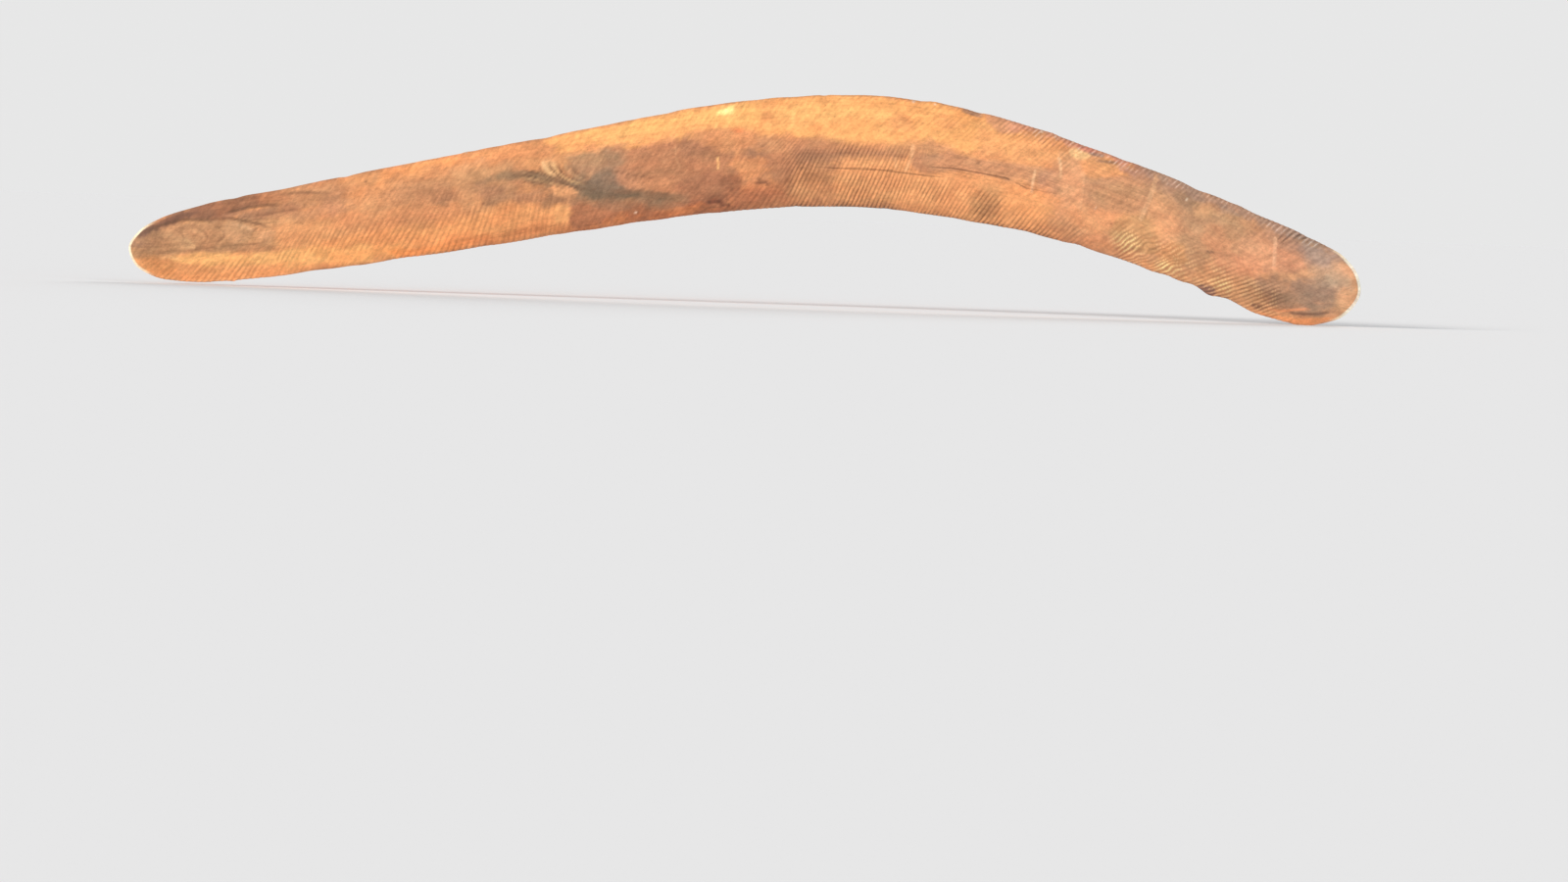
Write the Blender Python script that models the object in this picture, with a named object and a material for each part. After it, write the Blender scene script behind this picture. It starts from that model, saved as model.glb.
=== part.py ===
"""Hunting boomerang carved from one bent piece of hardwood.

Frame, in metres: the origin is on the flat back at the elbow, midway between
the two edges. X runs along the object with the long arm towards -X, Z points
from the tips towards the outside of the elbow, and the carved front looks
along -Y. The back lies in the plane Y = 0.
"""

import bmesh
import bpy
import numpy as np

MM = 0.001

# Outer edge of the bend, from the long arm's tip to the short arm's tip, (x, z) in mm.
CONVEX_EDGE = [
    (-427.5, -71.0),
    (-422.0, -62.0),
    (-410.0, -54.0),
    (-385.0, -45.0),
    (-338.0, -33.9),
    (-278.0, -19.3),
    (-218.0, -5.5),
    (-158.0, 8.5),
    (-98.0, 22.4),
    (-48.0, 30.1),
    (2.0, 33.0),
    (42.0, 30.4),
    (82.0, 22.6),
    (122.0, 10.9),
    (182.0, -8.8),
    (232.0, -28.0),
    (267.0, -42.0),
    (284.0, -51.5),
    (291.5, -60.5),
    (294.0, -72.0),
]

# Inner edge of the bend, between the same two tips, (x, z) in mm.
CONCAVE_EDGE = [
    (-427.5, -71.0),
    (-423.5, -81.5),
    (-413.0, -87.8),
    (-388.0, -90.6),
    (-348.0, -86.4),
    (-288.0, -76.4),
    (-218.0, -63.4),
    (-148.0, -49.5),
    (-88.0, -39.4),
    (-38.0, -34.0),
    (2.0, -32.8),
    (52.0, -37.0),
    (102.0, -45.0),
    (142.0, -54.4),
    (182.0, -67.0),
    (220.0, -81.0),
    (242.0, -88.6),
    (268.0, -91.2),
    (285.0, -85.5),
    (294.0, -72.0),
]

THICKNESS_AT_ELBOW = 13.0
THICKNESS_AT_LONG_TIP = 9.5
THICKNESS_AT_SHORT_TIP = 10.0

# The rim is thinner than the middle: both faces fall away towards it.
RIM_DEPTH = 3.0
RIM_HALF_WIDTH_MIN = 23.5
BACK_BEVEL_SHARE = 0.34
FRONT_CROWN_POWER = 0.8

# How finely the body is divided.
SAMPLES_PER_EDGE = 900
RUNGS = 84
TIP_CROWDING = 0.45
ACROSS = [0.0, 0.007, 0.028, 0.075, 0.15, 0.24, 0.36, 0.55, 0.77, 1.0]

WOOD_COLOUR = (0.52, 0.26, 0.13, 1.0)


def smooth_closed_curve(points, samples_each):
    """Catmull-Rom curve through a closed list of points."""
    pts = np.array(points, dtype=float)
    count = len(pts)
    steps = np.linspace(0.0, 1.0, samples_each, endpoint=False)
    pieces = []
    for i in range(count):
        p0 = pts[(i - 1) % count]
        p1 = pts[i]
        p2 = pts[(i + 1) % count]
        p3 = pts[(i + 2) % count]
        span = np.linalg.norm(p2 - p1)
        before = np.linalg.norm(p1 - p0)
        after = np.linalg.norm(p3 - p2)
        slope_1 = ((p1 - p0) / before * span + (p2 - p1) / span * before) / (before + span)
        slope_2 = ((p2 - p1) / span * after + (p3 - p2) / after * span) / (span + after)
        s = steps[:, None]
        h00 = 2 * s**3 - 3 * s**2 + 1
        h10 = s**3 - 2 * s**2 + s
        h01 = -2 * s**3 + 3 * s**2
        h11 = s**3 - s**2
        pieces.append(h00 * p1 + h10 * slope_1 * span + h01 * p2 + h11 * slope_2 * span)
    return pieces


def even_samples(line, shares):
    """Points at the given shares of a line's length."""
    steps = np.linalg.norm(np.diff(line, axis=0), axis=1)
    run = np.concatenate([[0.0], np.cumsum(steps)])
    wanted = np.array(shares) * run[-1]
    x = np.interp(wanted, run, line[:, 0])
    z = np.interp(wanted, run, line[:, 1])
    return np.stack([x, z], axis=1)


def outline_edges():
    """Both edges of the blade as smooth lines from the long tip to the short tip."""
    closed = CONVEX_EDGE + CONCAVE_EDGE[-2:0:-1]
    pieces = smooth_closed_curve(closed, 40)
    turn = len(CONVEX_EDGE) - 1
    tip_long = np.array([CONVEX_EDGE[0]])
    tip_short = np.array([CONVEX_EDGE[-1]])
    convex = np.concatenate(pieces[:turn] + [tip_short])
    concave = np.concatenate(pieces[turn:] + [tip_long])[::-1]
    return convex, concave


def rung_shares():
    """Where the cross-sections stand, closer together towards both tips."""
    even = np.linspace(0.0, 1.0, RUNGS + 1)
    crowded = (1.0 - np.cos(np.pi * even)) / 2.0
    return even * (1.0 - TIP_CROWDING) + crowded * TIP_CROWDING


def distance_to(line, point):
    """Shortest distance from a point to a line of close points."""
    start = line[:-1]
    step = line[1:] - start
    length_2 = np.maximum((step**2).sum(axis=1), 1e-12)
    share = ((point - start) * step).sum(axis=1) / length_2
    foot = start + step * np.clip(share, 0.0, 1.0)[:, None]
    return np.sqrt(((foot - point) ** 2).sum(axis=1).min())


def thickness_at(share):
    """Full thickness of the blade along its length."""
    elbow_share = 0.58
    if share < elbow_share:
        lean = 0.5 - 0.5 * np.cos(np.pi * share / elbow_share)
        return THICKNESS_AT_LONG_TIP + (THICKNESS_AT_ELBOW - THICKNESS_AT_LONG_TIP) * lean
    lean = 0.5 - 0.5 * np.cos(np.pi * (1.0 - share) / (1.0 - elbow_share))
    return THICKNESS_AT_SHORT_TIP + (THICKNESS_AT_ELBOW - THICKNESS_AT_SHORT_TIP) * lean


def front_height(inset, reach, thickness):
    """Height of the crowned front above the rim, at a distance in from the outline."""
    rise = min(inset / reach, 1.0)
    crown = (1.0 - (1.0 - rise) ** 2) ** FRONT_CROWN_POWER
    return RIM_DEPTH + (thickness - RIM_DEPTH) * crown


def back_depth(inset, reach):
    """How far the back falls away from its flat, at a distance in from the outline."""
    bevel = BACK_BEVEL_SHARE * reach
    if inset >= bevel:
        return 0.0
    rest = (bevel - inset) / bevel
    return RIM_DEPTH * (1.0 - np.sqrt(max(1.0 - rest**2, 0.0)))


def build_blade():
    convex, concave = outline_edges()
    shares = rung_shares()
    upper = even_samples(convex, shares)
    lower = even_samples(concave, shares)
    outline = np.concatenate([
        even_samples(convex, np.linspace(0.0, 1.0, SAMPLES_PER_EDGE)),
        even_samples(concave, np.linspace(0.0, 1.0, SAMPLES_PER_EDGE))[::-1],
    ])
    inner = [a / 2.0 for a in ACROSS]
    across = inner + [1.0 - a for a in inner[-2::-1]]
    last = len(across) - 1

    body = bmesh.new()

    def add(x, y, z):
        return body.verts.new((x * MM, y * MM, z * MM))

    front_rows = []
    back_rows = []
    for i in range(1, RUNGS):
        width = np.linalg.norm(upper[i] - lower[i])
        reach = max(width / 2.0, RIM_HALF_WIDTH_MIN)
        thickness = thickness_at(shares[i])
        front = []
        back = []
        for j, t in enumerate(across):
            x, z = lower[i] + (upper[i] - lower[i]) * t
            if j in (0, last):
                rim = add(x, -RIM_DEPTH, z)
                front.append(rim)
                back.append(rim)
                continue
            inset = distance_to(outline, np.array([x, z]))
            front.append(add(x, -front_height(inset, reach, thickness), z))
            back.append(add(x, -back_depth(inset, reach), z))
        front_rows.append(front)
        back_rows.append(back)

    for rows in (front_rows, back_rows):
        for near, far in zip(rows[:-1], rows[1:]):
            for j in range(last):
                body.faces.new((near[j], near[j + 1], far[j + 1], far[j]))

    long_tip = add(CONVEX_EDGE[0][0], -RIM_DEPTH, CONVEX_EDGE[0][1])
    short_tip = add(CONVEX_EDGE[-1][0], -RIM_DEPTH, CONVEX_EDGE[-1][1])
    for rows in (front_rows, back_rows):
        for j in range(last):
            body.faces.new((long_tip, rows[0][j], rows[0][j + 1]))
            body.faces.new((short_tip, rows[-1][j + 1], rows[-1][j]))

    # The flat of the back becomes one face.
    flat = [f for f in body.faces if all(abs(v.co.y) < 1e-9 for v in f.verts)]
    bmesh.ops.dissolve_faces(body, faces=flat, use_verts=True)
    bmesh.ops.recalc_face_normals(body, faces=body.faces)
    return body


def plain_wood():
    wood = bpy.data.materials.new("wood")
    wood.use_nodes = True
    shader = wood.node_tree.nodes["Principled BSDF"]
    shader.inputs["Base Color"].default_value = WOOD_COLOUR
    shader.inputs["Roughness"].default_value = 0.55
    return wood


for old in list(bpy.data.objects):
    bpy.data.objects.remove(old, do_unlink=True)

collection = bpy.data.collections.new("boomerang")
bpy.context.scene.collection.children.link(collection)

blade_mesh = bpy.data.meshes.new("blade")
blade_body = build_blade()
blade_body.to_mesh(blade_mesh)
blade_body.free()
blade_mesh.materials.append(plain_wood())
blade = bpy.data.objects.new("blade", blade_mesh)
collection.objects.link(blade)
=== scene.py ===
"""Looks of the carved hunting boomerang: a finely fluted wooden blade, front and back.

All plan positions are (x, z) in millimetres in the part's own frame: x runs
towards the short arm's tip and z towards the outside of the bend. The carved
front looks along -Y and the back along +Y.
"""

import math

import bpy
import numpy as np
from mathutils import Euler, Matrix, Vector, kdtree


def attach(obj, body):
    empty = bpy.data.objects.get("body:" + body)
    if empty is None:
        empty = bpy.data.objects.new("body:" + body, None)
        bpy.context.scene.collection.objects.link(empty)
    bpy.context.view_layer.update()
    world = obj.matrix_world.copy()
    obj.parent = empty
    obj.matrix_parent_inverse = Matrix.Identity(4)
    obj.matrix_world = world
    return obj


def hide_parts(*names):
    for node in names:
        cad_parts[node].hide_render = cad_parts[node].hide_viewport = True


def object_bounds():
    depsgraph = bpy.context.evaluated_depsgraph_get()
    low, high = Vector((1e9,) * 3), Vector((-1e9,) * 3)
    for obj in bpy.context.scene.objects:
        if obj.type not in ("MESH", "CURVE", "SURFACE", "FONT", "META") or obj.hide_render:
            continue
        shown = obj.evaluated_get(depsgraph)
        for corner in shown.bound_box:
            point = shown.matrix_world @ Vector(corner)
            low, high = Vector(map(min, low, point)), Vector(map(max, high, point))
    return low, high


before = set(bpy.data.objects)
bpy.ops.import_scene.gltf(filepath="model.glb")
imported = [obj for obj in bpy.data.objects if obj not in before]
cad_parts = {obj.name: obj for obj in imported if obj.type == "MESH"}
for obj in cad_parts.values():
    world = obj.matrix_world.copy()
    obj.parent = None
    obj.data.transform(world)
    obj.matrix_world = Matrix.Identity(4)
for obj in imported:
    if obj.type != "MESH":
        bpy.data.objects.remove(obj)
box_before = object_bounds()

MM = 0.001

# ---------------------------------------------------------------- the outline

CONVEX_EDGE = [
    (-427.5, -71.0), (-422.0, -62.0), (-410.0, -54.0), (-385.0, -45.0), (-338.0, -33.9),
    (-278.0, -19.3), (-218.0, -5.5), (-158.0, 8.5), (-98.0, 22.4), (-48.0, 30.1),
    (2.0, 33.0), (42.0, 30.4), (82.0, 22.6), (122.0, 10.9), (182.0, -8.8),
    (232.0, -28.0), (267.0, -42.0), (284.0, -51.5), (291.5, -60.5), (294.0, -72.0),
]
CONCAVE_EDGE = [
    (-427.5, -71.0), (-423.5, -81.5), (-413.0, -87.8), (-388.0, -90.6), (-348.0, -86.4),
    (-288.0, -76.4), (-218.0, -63.4), (-148.0, -49.5), (-88.0, -39.4), (-38.0, -34.0),
    (2.0, -32.8), (52.0, -37.0), (102.0, -45.0), (142.0, -54.4), (182.0, -67.0),
    (220.0, -81.0), (242.0, -88.6), (268.0, -91.2), (285.0, -85.5), (294.0, -72.0),
]

# Small dents and lips of the worn edges: x, how far out (mm), half length (mm).
CONVEX_NICKS = [
    (-366, -0.5, 4), (-302, -0.5, 3), (-232, 0.5, 2), (-186, -0.6, 7), (-118, -0.4, 9),
    (-24, -0.4, 2), (33, -0.5, 4), (66, -0.7, 5), (110, 0.4, 3), (152, -0.4, 4),
    (196, -0.7, 6), (221, 0.4, 4), (262, -0.6, 5),
]
CONCAVE_NICKS = [
    (-366, 0.6, 2), (-318, -0.5, 8), (-271, -0.5, 12), (-156, 0.3, 8), (-38, -0.3, 2),
    (14, -0.3, 3), (96, -0.5, 8), (128, -0.6, 5), (170, 0.5, 5), (181, -0.6, 4),
    (196, -0.9, 5), (205, 1.1, 4), (217, -1.3, 7), (232, 0.3, 4), (262, 0.5, 9),
]

THICKNESS_AT_ELBOW = 13.0
THICKNESS_AT_LONG_TIP = 9.5
THICKNESS_AT_SHORT_TIP = 10.0
ELBOW_SHARE = 0.58
RIM_DEPTH = 3.0
RIM_HALF_WIDTH_MIN = 23.5
BACK_BEVEL_SHARE = 0.34
FRONT_CROWN_POWER = 0.8

# How finely the mesh is divided. The back has half as many columns as the front.
FRONT_COLUMNS = 1240
FRONT_ROWS = 54
BACK_ROWS = 34
RIM_SAMPLES = 5200
SAMPLES_PER_SPAN = 60

# How much closer together the columns stand at the tips and the rows at the rims, and
# the shares of the width where each rim gets two more rows.
COLUMN_CROWDING = 0.15
ROW_CROWDING = 0.4
RIM_ROWS = [0.0035, 0.009]

# All relief fades out over this distance from the rim, in mm.
RIM_FADE = 1.6

# The colours under everything else, as they should look.
FRONT_WOOD = (228, 160, 108)
BACK_WOOD = (246, 134, 46)


def smooth_closed_curve(points, samples_each):
    """Smooth curve through a closed list of points, one piece per span."""
    pts = np.array(points, dtype=float)
    count = len(pts)
    s = np.linspace(0.0, 1.0, samples_each, endpoint=False)[:, None]
    pieces = []
    for i in range(count):
        p0, p1, p2, p3 = (pts[(i + k) % count] for k in (-1, 0, 1, 2))
        span = np.linalg.norm(p2 - p1)
        before = np.linalg.norm(p1 - p0)
        after = np.linalg.norm(p3 - p2)
        slope_1 = ((p1 - p0) / before * span + (p2 - p1) / span * before) / (before + span)
        slope_2 = ((p2 - p1) / span * after + (p3 - p2) / after * span) / (span + after)
        h00 = 2 * s**3 - 3 * s**2 + 1
        h10 = s**3 - 2 * s**2 + s
        h01 = -2 * s**3 + 3 * s**2
        h11 = s**3 - s**2
        pieces.append(h00 * p1 + h10 * slope_1 * span + h01 * p2 + h11 * slope_2 * span)
    return pieces


def run_along(line):
    """Distance run along a line at each of its points."""
    return np.concatenate([[0.0], np.cumsum(np.linalg.norm(np.diff(line, axis=0), axis=1))])


def even_samples(line, shares):
    """Points at the given shares of a line's length."""
    run = run_along(line)
    wanted = np.asarray(shares) * run[-1]
    return np.stack([np.interp(wanted, run, line[:, k]) for k in (0, 1)], axis=1)


def outline_edges():
    """Both smooth edges from the long tip to the short tip."""
    pieces = smooth_closed_curve(CONVEX_EDGE + CONCAVE_EDGE[-2:0:-1], SAMPLES_PER_SPAN)
    turn = len(CONVEX_EDGE) - 1
    convex = np.concatenate(pieces[:turn] + [np.array([CONVEX_EDGE[-1]])])
    concave = np.concatenate(pieces[turn:] + [np.array([CONVEX_EDGE[0]])])[::-1]
    return convex, concave


# ------------------------------------------------------------- plain functions

def smooth(low, high, value):
    """0 below low, 1 above high, smooth between; low may be above high."""
    t = np.clip((value - low) / (high - low), 0.0, 1.0)
    return t * t * (3.0 - 2.0 * t)


NOISE_CELLS = 256


def value_noise(a, b, seed):
    """Smooth noise from 0 to 1 over a square lattice, the same on every run."""
    table = np.random.default_rng(seed).random((NOISE_CELLS, NOISE_CELLS))
    ia = np.floor(a).astype(int)
    ib = np.floor(b).astype(int)
    fa = a - ia
    fb = b - ib
    fa = fa * fa * (3 - 2 * fa)
    fb = fb * fb * (3 - 2 * fb)
    this_a = ia % NOISE_CELLS
    this_b = ib % NOISE_CELLS
    next_a = (ia + 1) % NOISE_CELLS
    next_b = (ib + 1) % NOISE_CELLS
    near = table[this_a, this_b] * (1 - fa) + table[next_a, this_b] * fa
    far = table[this_a, next_b] * (1 - fa) + table[next_a, next_b] * fa
    return near * (1 - fb) + far * fb


def cloud(a, b, seed, octaves=3):
    """Layered noise from about -1 to 1."""
    total = np.zeros_like(a)
    weight = 1.0
    for k in range(octaves):
        total += weight * (value_noise(a * 2**k + 31.7 * k, b * 2**k + 17.3 * k, seed + k) * 2 - 1)
        weight *= 0.5
    return total


def seen(r, g, b):
    """A colour as it should look, 0 to 255, turned into a linear one."""
    c = np.array([r, g, b]) / 255.0
    return np.where(c <= 0.04045, c / 12.92, ((c + 0.055) / 1.055) ** 2.4)


# ------------------------------------------------------------ the blade's body

class Side:
    """Grid of points on one face of the blade, with what the relief and paint need.

    x and z are plan positions, s is the run along the blade and v the distance
    across it from the middle, t and share are the same as shares of the width
    and the length, reach is half the width and inset the distance from the rim.
    """

    def __init__(self, upper, lower, across, tree, shares):
        t = np.array(across)[None, :]
        p = lower[:, None, :] + (upper - lower)[:, None, :] * t[:, :, None]
        self.x = p[:, :, 0].copy()
        self.z = p[:, :, 1].copy()
        middle = (upper + lower) / 2.0
        run = run_along(middle)
        self.t = np.broadcast_to(t, self.x.shape).copy()
        self.s = np.broadcast_to(run[:, None], self.x.shape).copy()
        width = np.linalg.norm(upper - lower, axis=1)[:, None]
        self.v = (self.t - 0.5) * width
        self.reach = np.maximum(np.broadcast_to(width, self.x.shape) / 2.0, RIM_HALF_WIDTH_MIN)
        self.share = np.broadcast_to(np.asarray(shares)[:, None], self.x.shape)
        inset = np.zeros(self.x.size)
        for k, (px, pz) in enumerate(zip(self.x.ravel(), self.z.ravel())):
            inset[k] = tree.find((px, pz, 0.0))[2]
        self.inset = inset.reshape(self.x.shape)
        self.inset[:, 0] = 0.0
        self.inset[:, -1] = 0.0


def thickness_at(share):
    """Full thickness of the blade along its length."""
    long_side = 0.5 - 0.5 * np.cos(np.pi * np.clip(share / ELBOW_SHARE, 0, 1))
    short_side = 0.5 - 0.5 * np.cos(np.pi * np.clip((1 - share) / (1 - ELBOW_SHARE), 0, 1))
    on_long = THICKNESS_AT_LONG_TIP + (THICKNESS_AT_ELBOW - THICKNESS_AT_LONG_TIP) * long_side
    on_short = THICKNESS_AT_SHORT_TIP + (THICKNESS_AT_ELBOW - THICKNESS_AT_SHORT_TIP) * short_side
    return np.where(share < ELBOW_SHARE, on_long, on_short)


def front_height(side):
    """Height of the crowned front above the back's plane."""
    rise = np.clip(side.inset / side.reach, 0.0, 1.0)
    crown = (1.0 - (1.0 - rise) ** 2) ** FRONT_CROWN_POWER
    return RIM_DEPTH + (thickness_at(side.share) - RIM_DEPTH) * crown


def back_depth(side):
    """How far the back falls away from its flat towards the rim."""
    rest = np.clip(1.0 - side.inset / (BACK_BEVEL_SHARE * side.reach), 0.0, 1.0)
    return RIM_DEPTH * (1.0 - np.sqrt(np.clip(1.0 - rest**2, 0.0, 1.0)))


# ------------------------------------------------------------------ the flutes

# How the gouge strokes lean, in degrees from the x axis, at places along x.
INNER_LEAN = [(-430, 44), (-372, 50), (-340, 60), (-310, 63), (-265, 60), (-237, 69), (-186, 83), (-150, 62),
              (-80, 46), (-56, 54), (-38, 64), (0, 66), (24, 70), (48, 64), (72, 55), (96, 54), (130, 46),
              (172, 28), (215, 21), (245, 24), (294, 24)]
OUTER_LEAN = [(-430, 60), (-300, 57), (-150, 58), (-50, 60), (-20, 50), (45, 43), (97, 41), (150, 42),
              (200, 48), (230, 45), (255, 35), (294, 35)]

# How far apart they are, in mm.
INNER_PITCH = [(-430, 2.3), (-345, 2.4), (-310, 2.5), (-270, 2.8), (-235, 3.0), (-185, 2.8), (-60, 2.4),
               (0, 2.25), (25, 2.15), (50, 2.4), (100, 2.6), (160, 2.6), (215, 2.4), (245, 2.1), (294, 2.1)]
OUTER_PITCH = [(-430, 2.6), (-150, 2.7), (30, 2.6), (97, 2.4), (200, 2.5), (255, 2.8), (294, 2.8)]

# The line that each set starts from, as a share of the width.
INNER_START = 0.22
OUTER_START = 0.85

# Where each set is cut, as shares of FLUTE_DEPTH: between two places along x and two
# shares of the width, how softly it ends along and across, and how strongly it is cut.
# The notches are how far a full stroke cuts into the rim that it runs out over, in mm.
FLUTE_DEPTH = 0.30
INNER_NOTCH = 0.55
OUTER_NOTCH = 0.42
INNER_STROKES = [
    (-342, -214, -0.2, 0.47, 5, 0.10, 0.68),
    (-318, -225, 0.4, 0.66, 10, 0.10, 0.36),
    (-412, -342, -0.2, 0.25, 8, 0.05, 0.65),
    (-214, -172, -0.2, 0.46, 10, 0.08, 0.4),
    (-172, -80, -0.2, 0.42, 8, 0.08, 0.20),
    (-82, -44, -0.2, 0.20, 8, 0.06, 0.75),
    (-62, -34, 0.48, 0.68, 8, 0.06, 0.6),
    (-46, -18, -0.2, 0.5, 8, 0.08, 1.3),
    (-18, 30, -0.2, 0.56, 7, 0.05, 1.3),
    (30, 66, -0.2, 0.33, 6, 0.05, 1.2),
    (64, 84, -0.2, 0.30, 5, 0.05, 1.7),
    (84, 132, -0.2, 0.24, 10, 0.08, 1.0),
    (146, 196, -0.2, 0.34, 9, 0.12, 0.75),
    (196, 248, -0.2, 0.36, 7, 0.12, 0.9),
]
OUTER_STROKES = [
    (-328, -264, 0.55, 0.85, 8, 0.08, 0.35),
    (-150, -30, 0.32, 0.72, 12, 0.1, 0.3),
    (-235, -140, 0.55, 0.86, 14, 0.1, 0.4),
    (-130, 20, 0.66, 1.2, 14, 0.08, 0.22),
    (20, 76, 0.72, 1.2, 12, 0.08, 0.5),
    (76, 122, 0.66, 1.2, 8, 0.06, 0.95),
    (122, 276, 0.88, 1.2, 12, 0.05, 0.6),
    (192, 210, 0.88, 1.2, 4, 0.04, 0.8),
    (224, 234, 0.72, 0.95, 3, 0.05, 0.6),
    (244, 264, 0.80, 1.2, 4, 0.05, 1.1),
]


def along_x(table, x):
    """Value of a table of (x, value) pairs at the given places."""
    return np.interp(x, [a for a, _ in table], [b for _, b in table])


def flute_phase(side, leans, pitches, start_share, seed):
    """Which stroke a point lies on: whole numbers are the ridges between strokes."""
    # Each stroke starts on a line along the blade and runs straight from there. The
    # place that it starts from is found step by step.
    column = side.t[0]
    line_x = np.array([np.interp(start_share, column, row) for row in side.x])
    line_z = np.array([np.interp(start_share, column, row) for row in side.z])
    slope = np.gradient(line_z, line_x)
    start = side.x.copy()
    for _ in range(6):
        rise = np.tan(np.radians(along_x(leans, start)))
        miss = start + (side.z - np.interp(start, line_x, line_z)) / rise - side.x
        start = start - miss / (1.0 - np.interp(start, line_x, slope) / rise)
    # Three sizes of waver, and a stretch of the short arm that is cut more roughly.
    start += 0.55 * cloud(side.s / 46.0, side.v / 30.0, seed)
    start += 0.30 * cloud(side.s / 8.0, side.v / 14.0, seed + 7)
    start += 0.14 * cloud(side.s / 3.0, side.v / 5.0, seed + 9)
    rough = spot(side, 170, -54, 34, 16, -24)
    start += 4.0 * rough * cloud(side.s / 11.0, side.v / 7.0, seed + 11, 2)
    # The strokes are counted along that line, from past one tip to past the other.
    table_x = np.linspace(-520.0, 360.0, 1200)
    lean = np.radians(along_x(leans, table_x))
    density = np.abs(np.sin(lean) - np.interp(table_x, line_x, slope) * np.cos(lean))
    steps = density / along_x(pitches, table_x)
    strokes = np.concatenate([[0.0], np.cumsum(steps[:-1] * (table_x[1] - table_x[0]))])
    return np.interp(start, table_x, strokes)


def spot(side, x, z, long, short, angle):
    """1 at a place, fading to 0 at the rim of an ellipse round it."""
    a = math.radians(angle)
    dx = side.x - x
    dz = side.z - z
    u = (dx * math.cos(a) + dz * math.sin(a)) / long
    w = (-dx * math.sin(a) + dz * math.cos(a)) / short
    return smooth(1.0, 0.0, np.sqrt(u * u + w * w))


def zone(side, x0, x1, t0, t1, soft_x, soft_t):
    """1 between two places along the blade and two shares of its width."""
    along = smooth(x0 - soft_x, x0 + soft_x, side.x) * smooth(x1 + soft_x, x1 - soft_x, side.x)
    over = smooth(t0 - soft_t, t0 + soft_t, side.t) * smooth(t1 + soft_t, t1 - soft_t, side.t)
    return along * over


def strongest(side, places):
    """The greatest strength of all the places that reach a point."""
    strength = np.zeros_like(side.x)
    for x0, x1, t0, t1, soft_x, soft_t, amount in places:
        strength = np.maximum(strength, amount * zone(side, x0, x1, t0, t1, soft_x, soft_t))
    return strength


def flute_strengths(side):
    """How deep the strokes of the inner and of the outer set are."""
    inner = strongest(side, INNER_STROKES)
    # They fade on the long arm's inner rim and are worn off the knot.
    inner *= 1.0 - 0.75 * zone(side, -350, -272, -0.2, 0.17, 8, 0.05)
    inner *= 1.0 - 0.85 * spot(side, -178, -22, 26, 9, -12)
    outer = strongest(side, OUTER_STROKES)
    worn = np.clip(0.82 + 0.34 * cloud(side.s / 16.0, side.v / 9.0, 41), 0.2, 1.15)
    patchy = np.clip(0.75 + 0.6 * cloud(side.s / 7.0, side.v / 4.0, 43), 0.1, 1.3)
    return inner * worn, outer * worn * patchy


def groove(phase):
    """Depth of a round-bottomed groove between two sharp ridges, 0 to 1."""
    f = phase - np.floor(phase)
    return 1.0 - (2.0 * f - 1.0) ** 2


STROKES_IN_TABLE = 4096


def stroke_weight(phase, seed):
    """Some strokes are cut deeper than others."""
    table = np.random.default_rng(seed).uniform(0.35, 1.25, STROKES_IN_TABLE)
    return table[np.floor(phase).astype(int) % STROKES_IN_TABLE]


# Hollows in mm, and bumps below zero: depth, x, z, half sizes, angle.
FRONT_HOLLOWS = [
    # The knot stands up a little, with a hollow on two sides of it.
    (-0.55, -181, -16, 10, 6, -20),
    (0.5, -172, -25, 22, 5, -10),
    (0.35, -196, -22, 12, 5, 8),
    # A chip on the short arm, and the notch where the splinter starts.
    (0.8, 204.5, -53.0, 3.0, 1.3, -8),
    (0.9, 236, -82, 7, 2.6, -6),
]
BACK_HOLLOWS = [
    # The pit.
    (1.5, -58.5, -17.3, 4.6, 1.9, 10),
    # Chips along the outer edge, and one at the orange patch.
    (0.7, 32, 26.5, 4.0, 2.0, -5),
    (0.8, 145, -4, 13, 3.0, -22),
    (0.6, 118, 5, 8, 2.4, -20),
    (0.5, 204, -62, 5, 2, -20),
]


def front_relief(side, inner_phase, outer_phase, inner_on, outer_on):
    """What is cut away from the smooth front, in mm."""
    cut = FLUTE_DEPTH * inner_on * groove(inner_phase) * stroke_weight(inner_phase, 5)
    cut += FLUTE_DEPTH * outer_on * groove(outer_phase) * stroke_weight(outer_phase, 6)
    cut += 0.16 + 0.16 * cloud(side.s / 58.0, side.v / 20.0, 61, 2)
    cut += 0.035 * cloud(side.s / 9.0, side.v / 3.2, 64)
    # A flat bevel along the inner side of the long tip.
    crease = -75.0 + (side.x + 395.0) * 0.075
    below = np.clip(crease - side.z, 0.0, None)
    cut += 0.075 * below * smooth(-290, -345, side.x)
    for depth, *place in FRONT_HOLLOWS:
        cut += depth * spot(side, *place)
    for points, width, strength in DARK_GRAIN:
        cut += 0.28 * strength * smooth(width * 0.9, 0.0, line_gap(side, points)[0])
    # The splinter's step near the short tip's inner edge.
    lip = smooth(-81.0, -83.5, side.z + (side.x - 232.0) * 0.12) * smooth(226, 240, side.x)
    cut += 0.55 * lip * smooth(286, 272, side.x)
    fade = smooth(0.0, RIM_FADE, side.inset)
    return np.clip(cut, -0.25, None) * (0.15 + 0.85 * fade)


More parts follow.
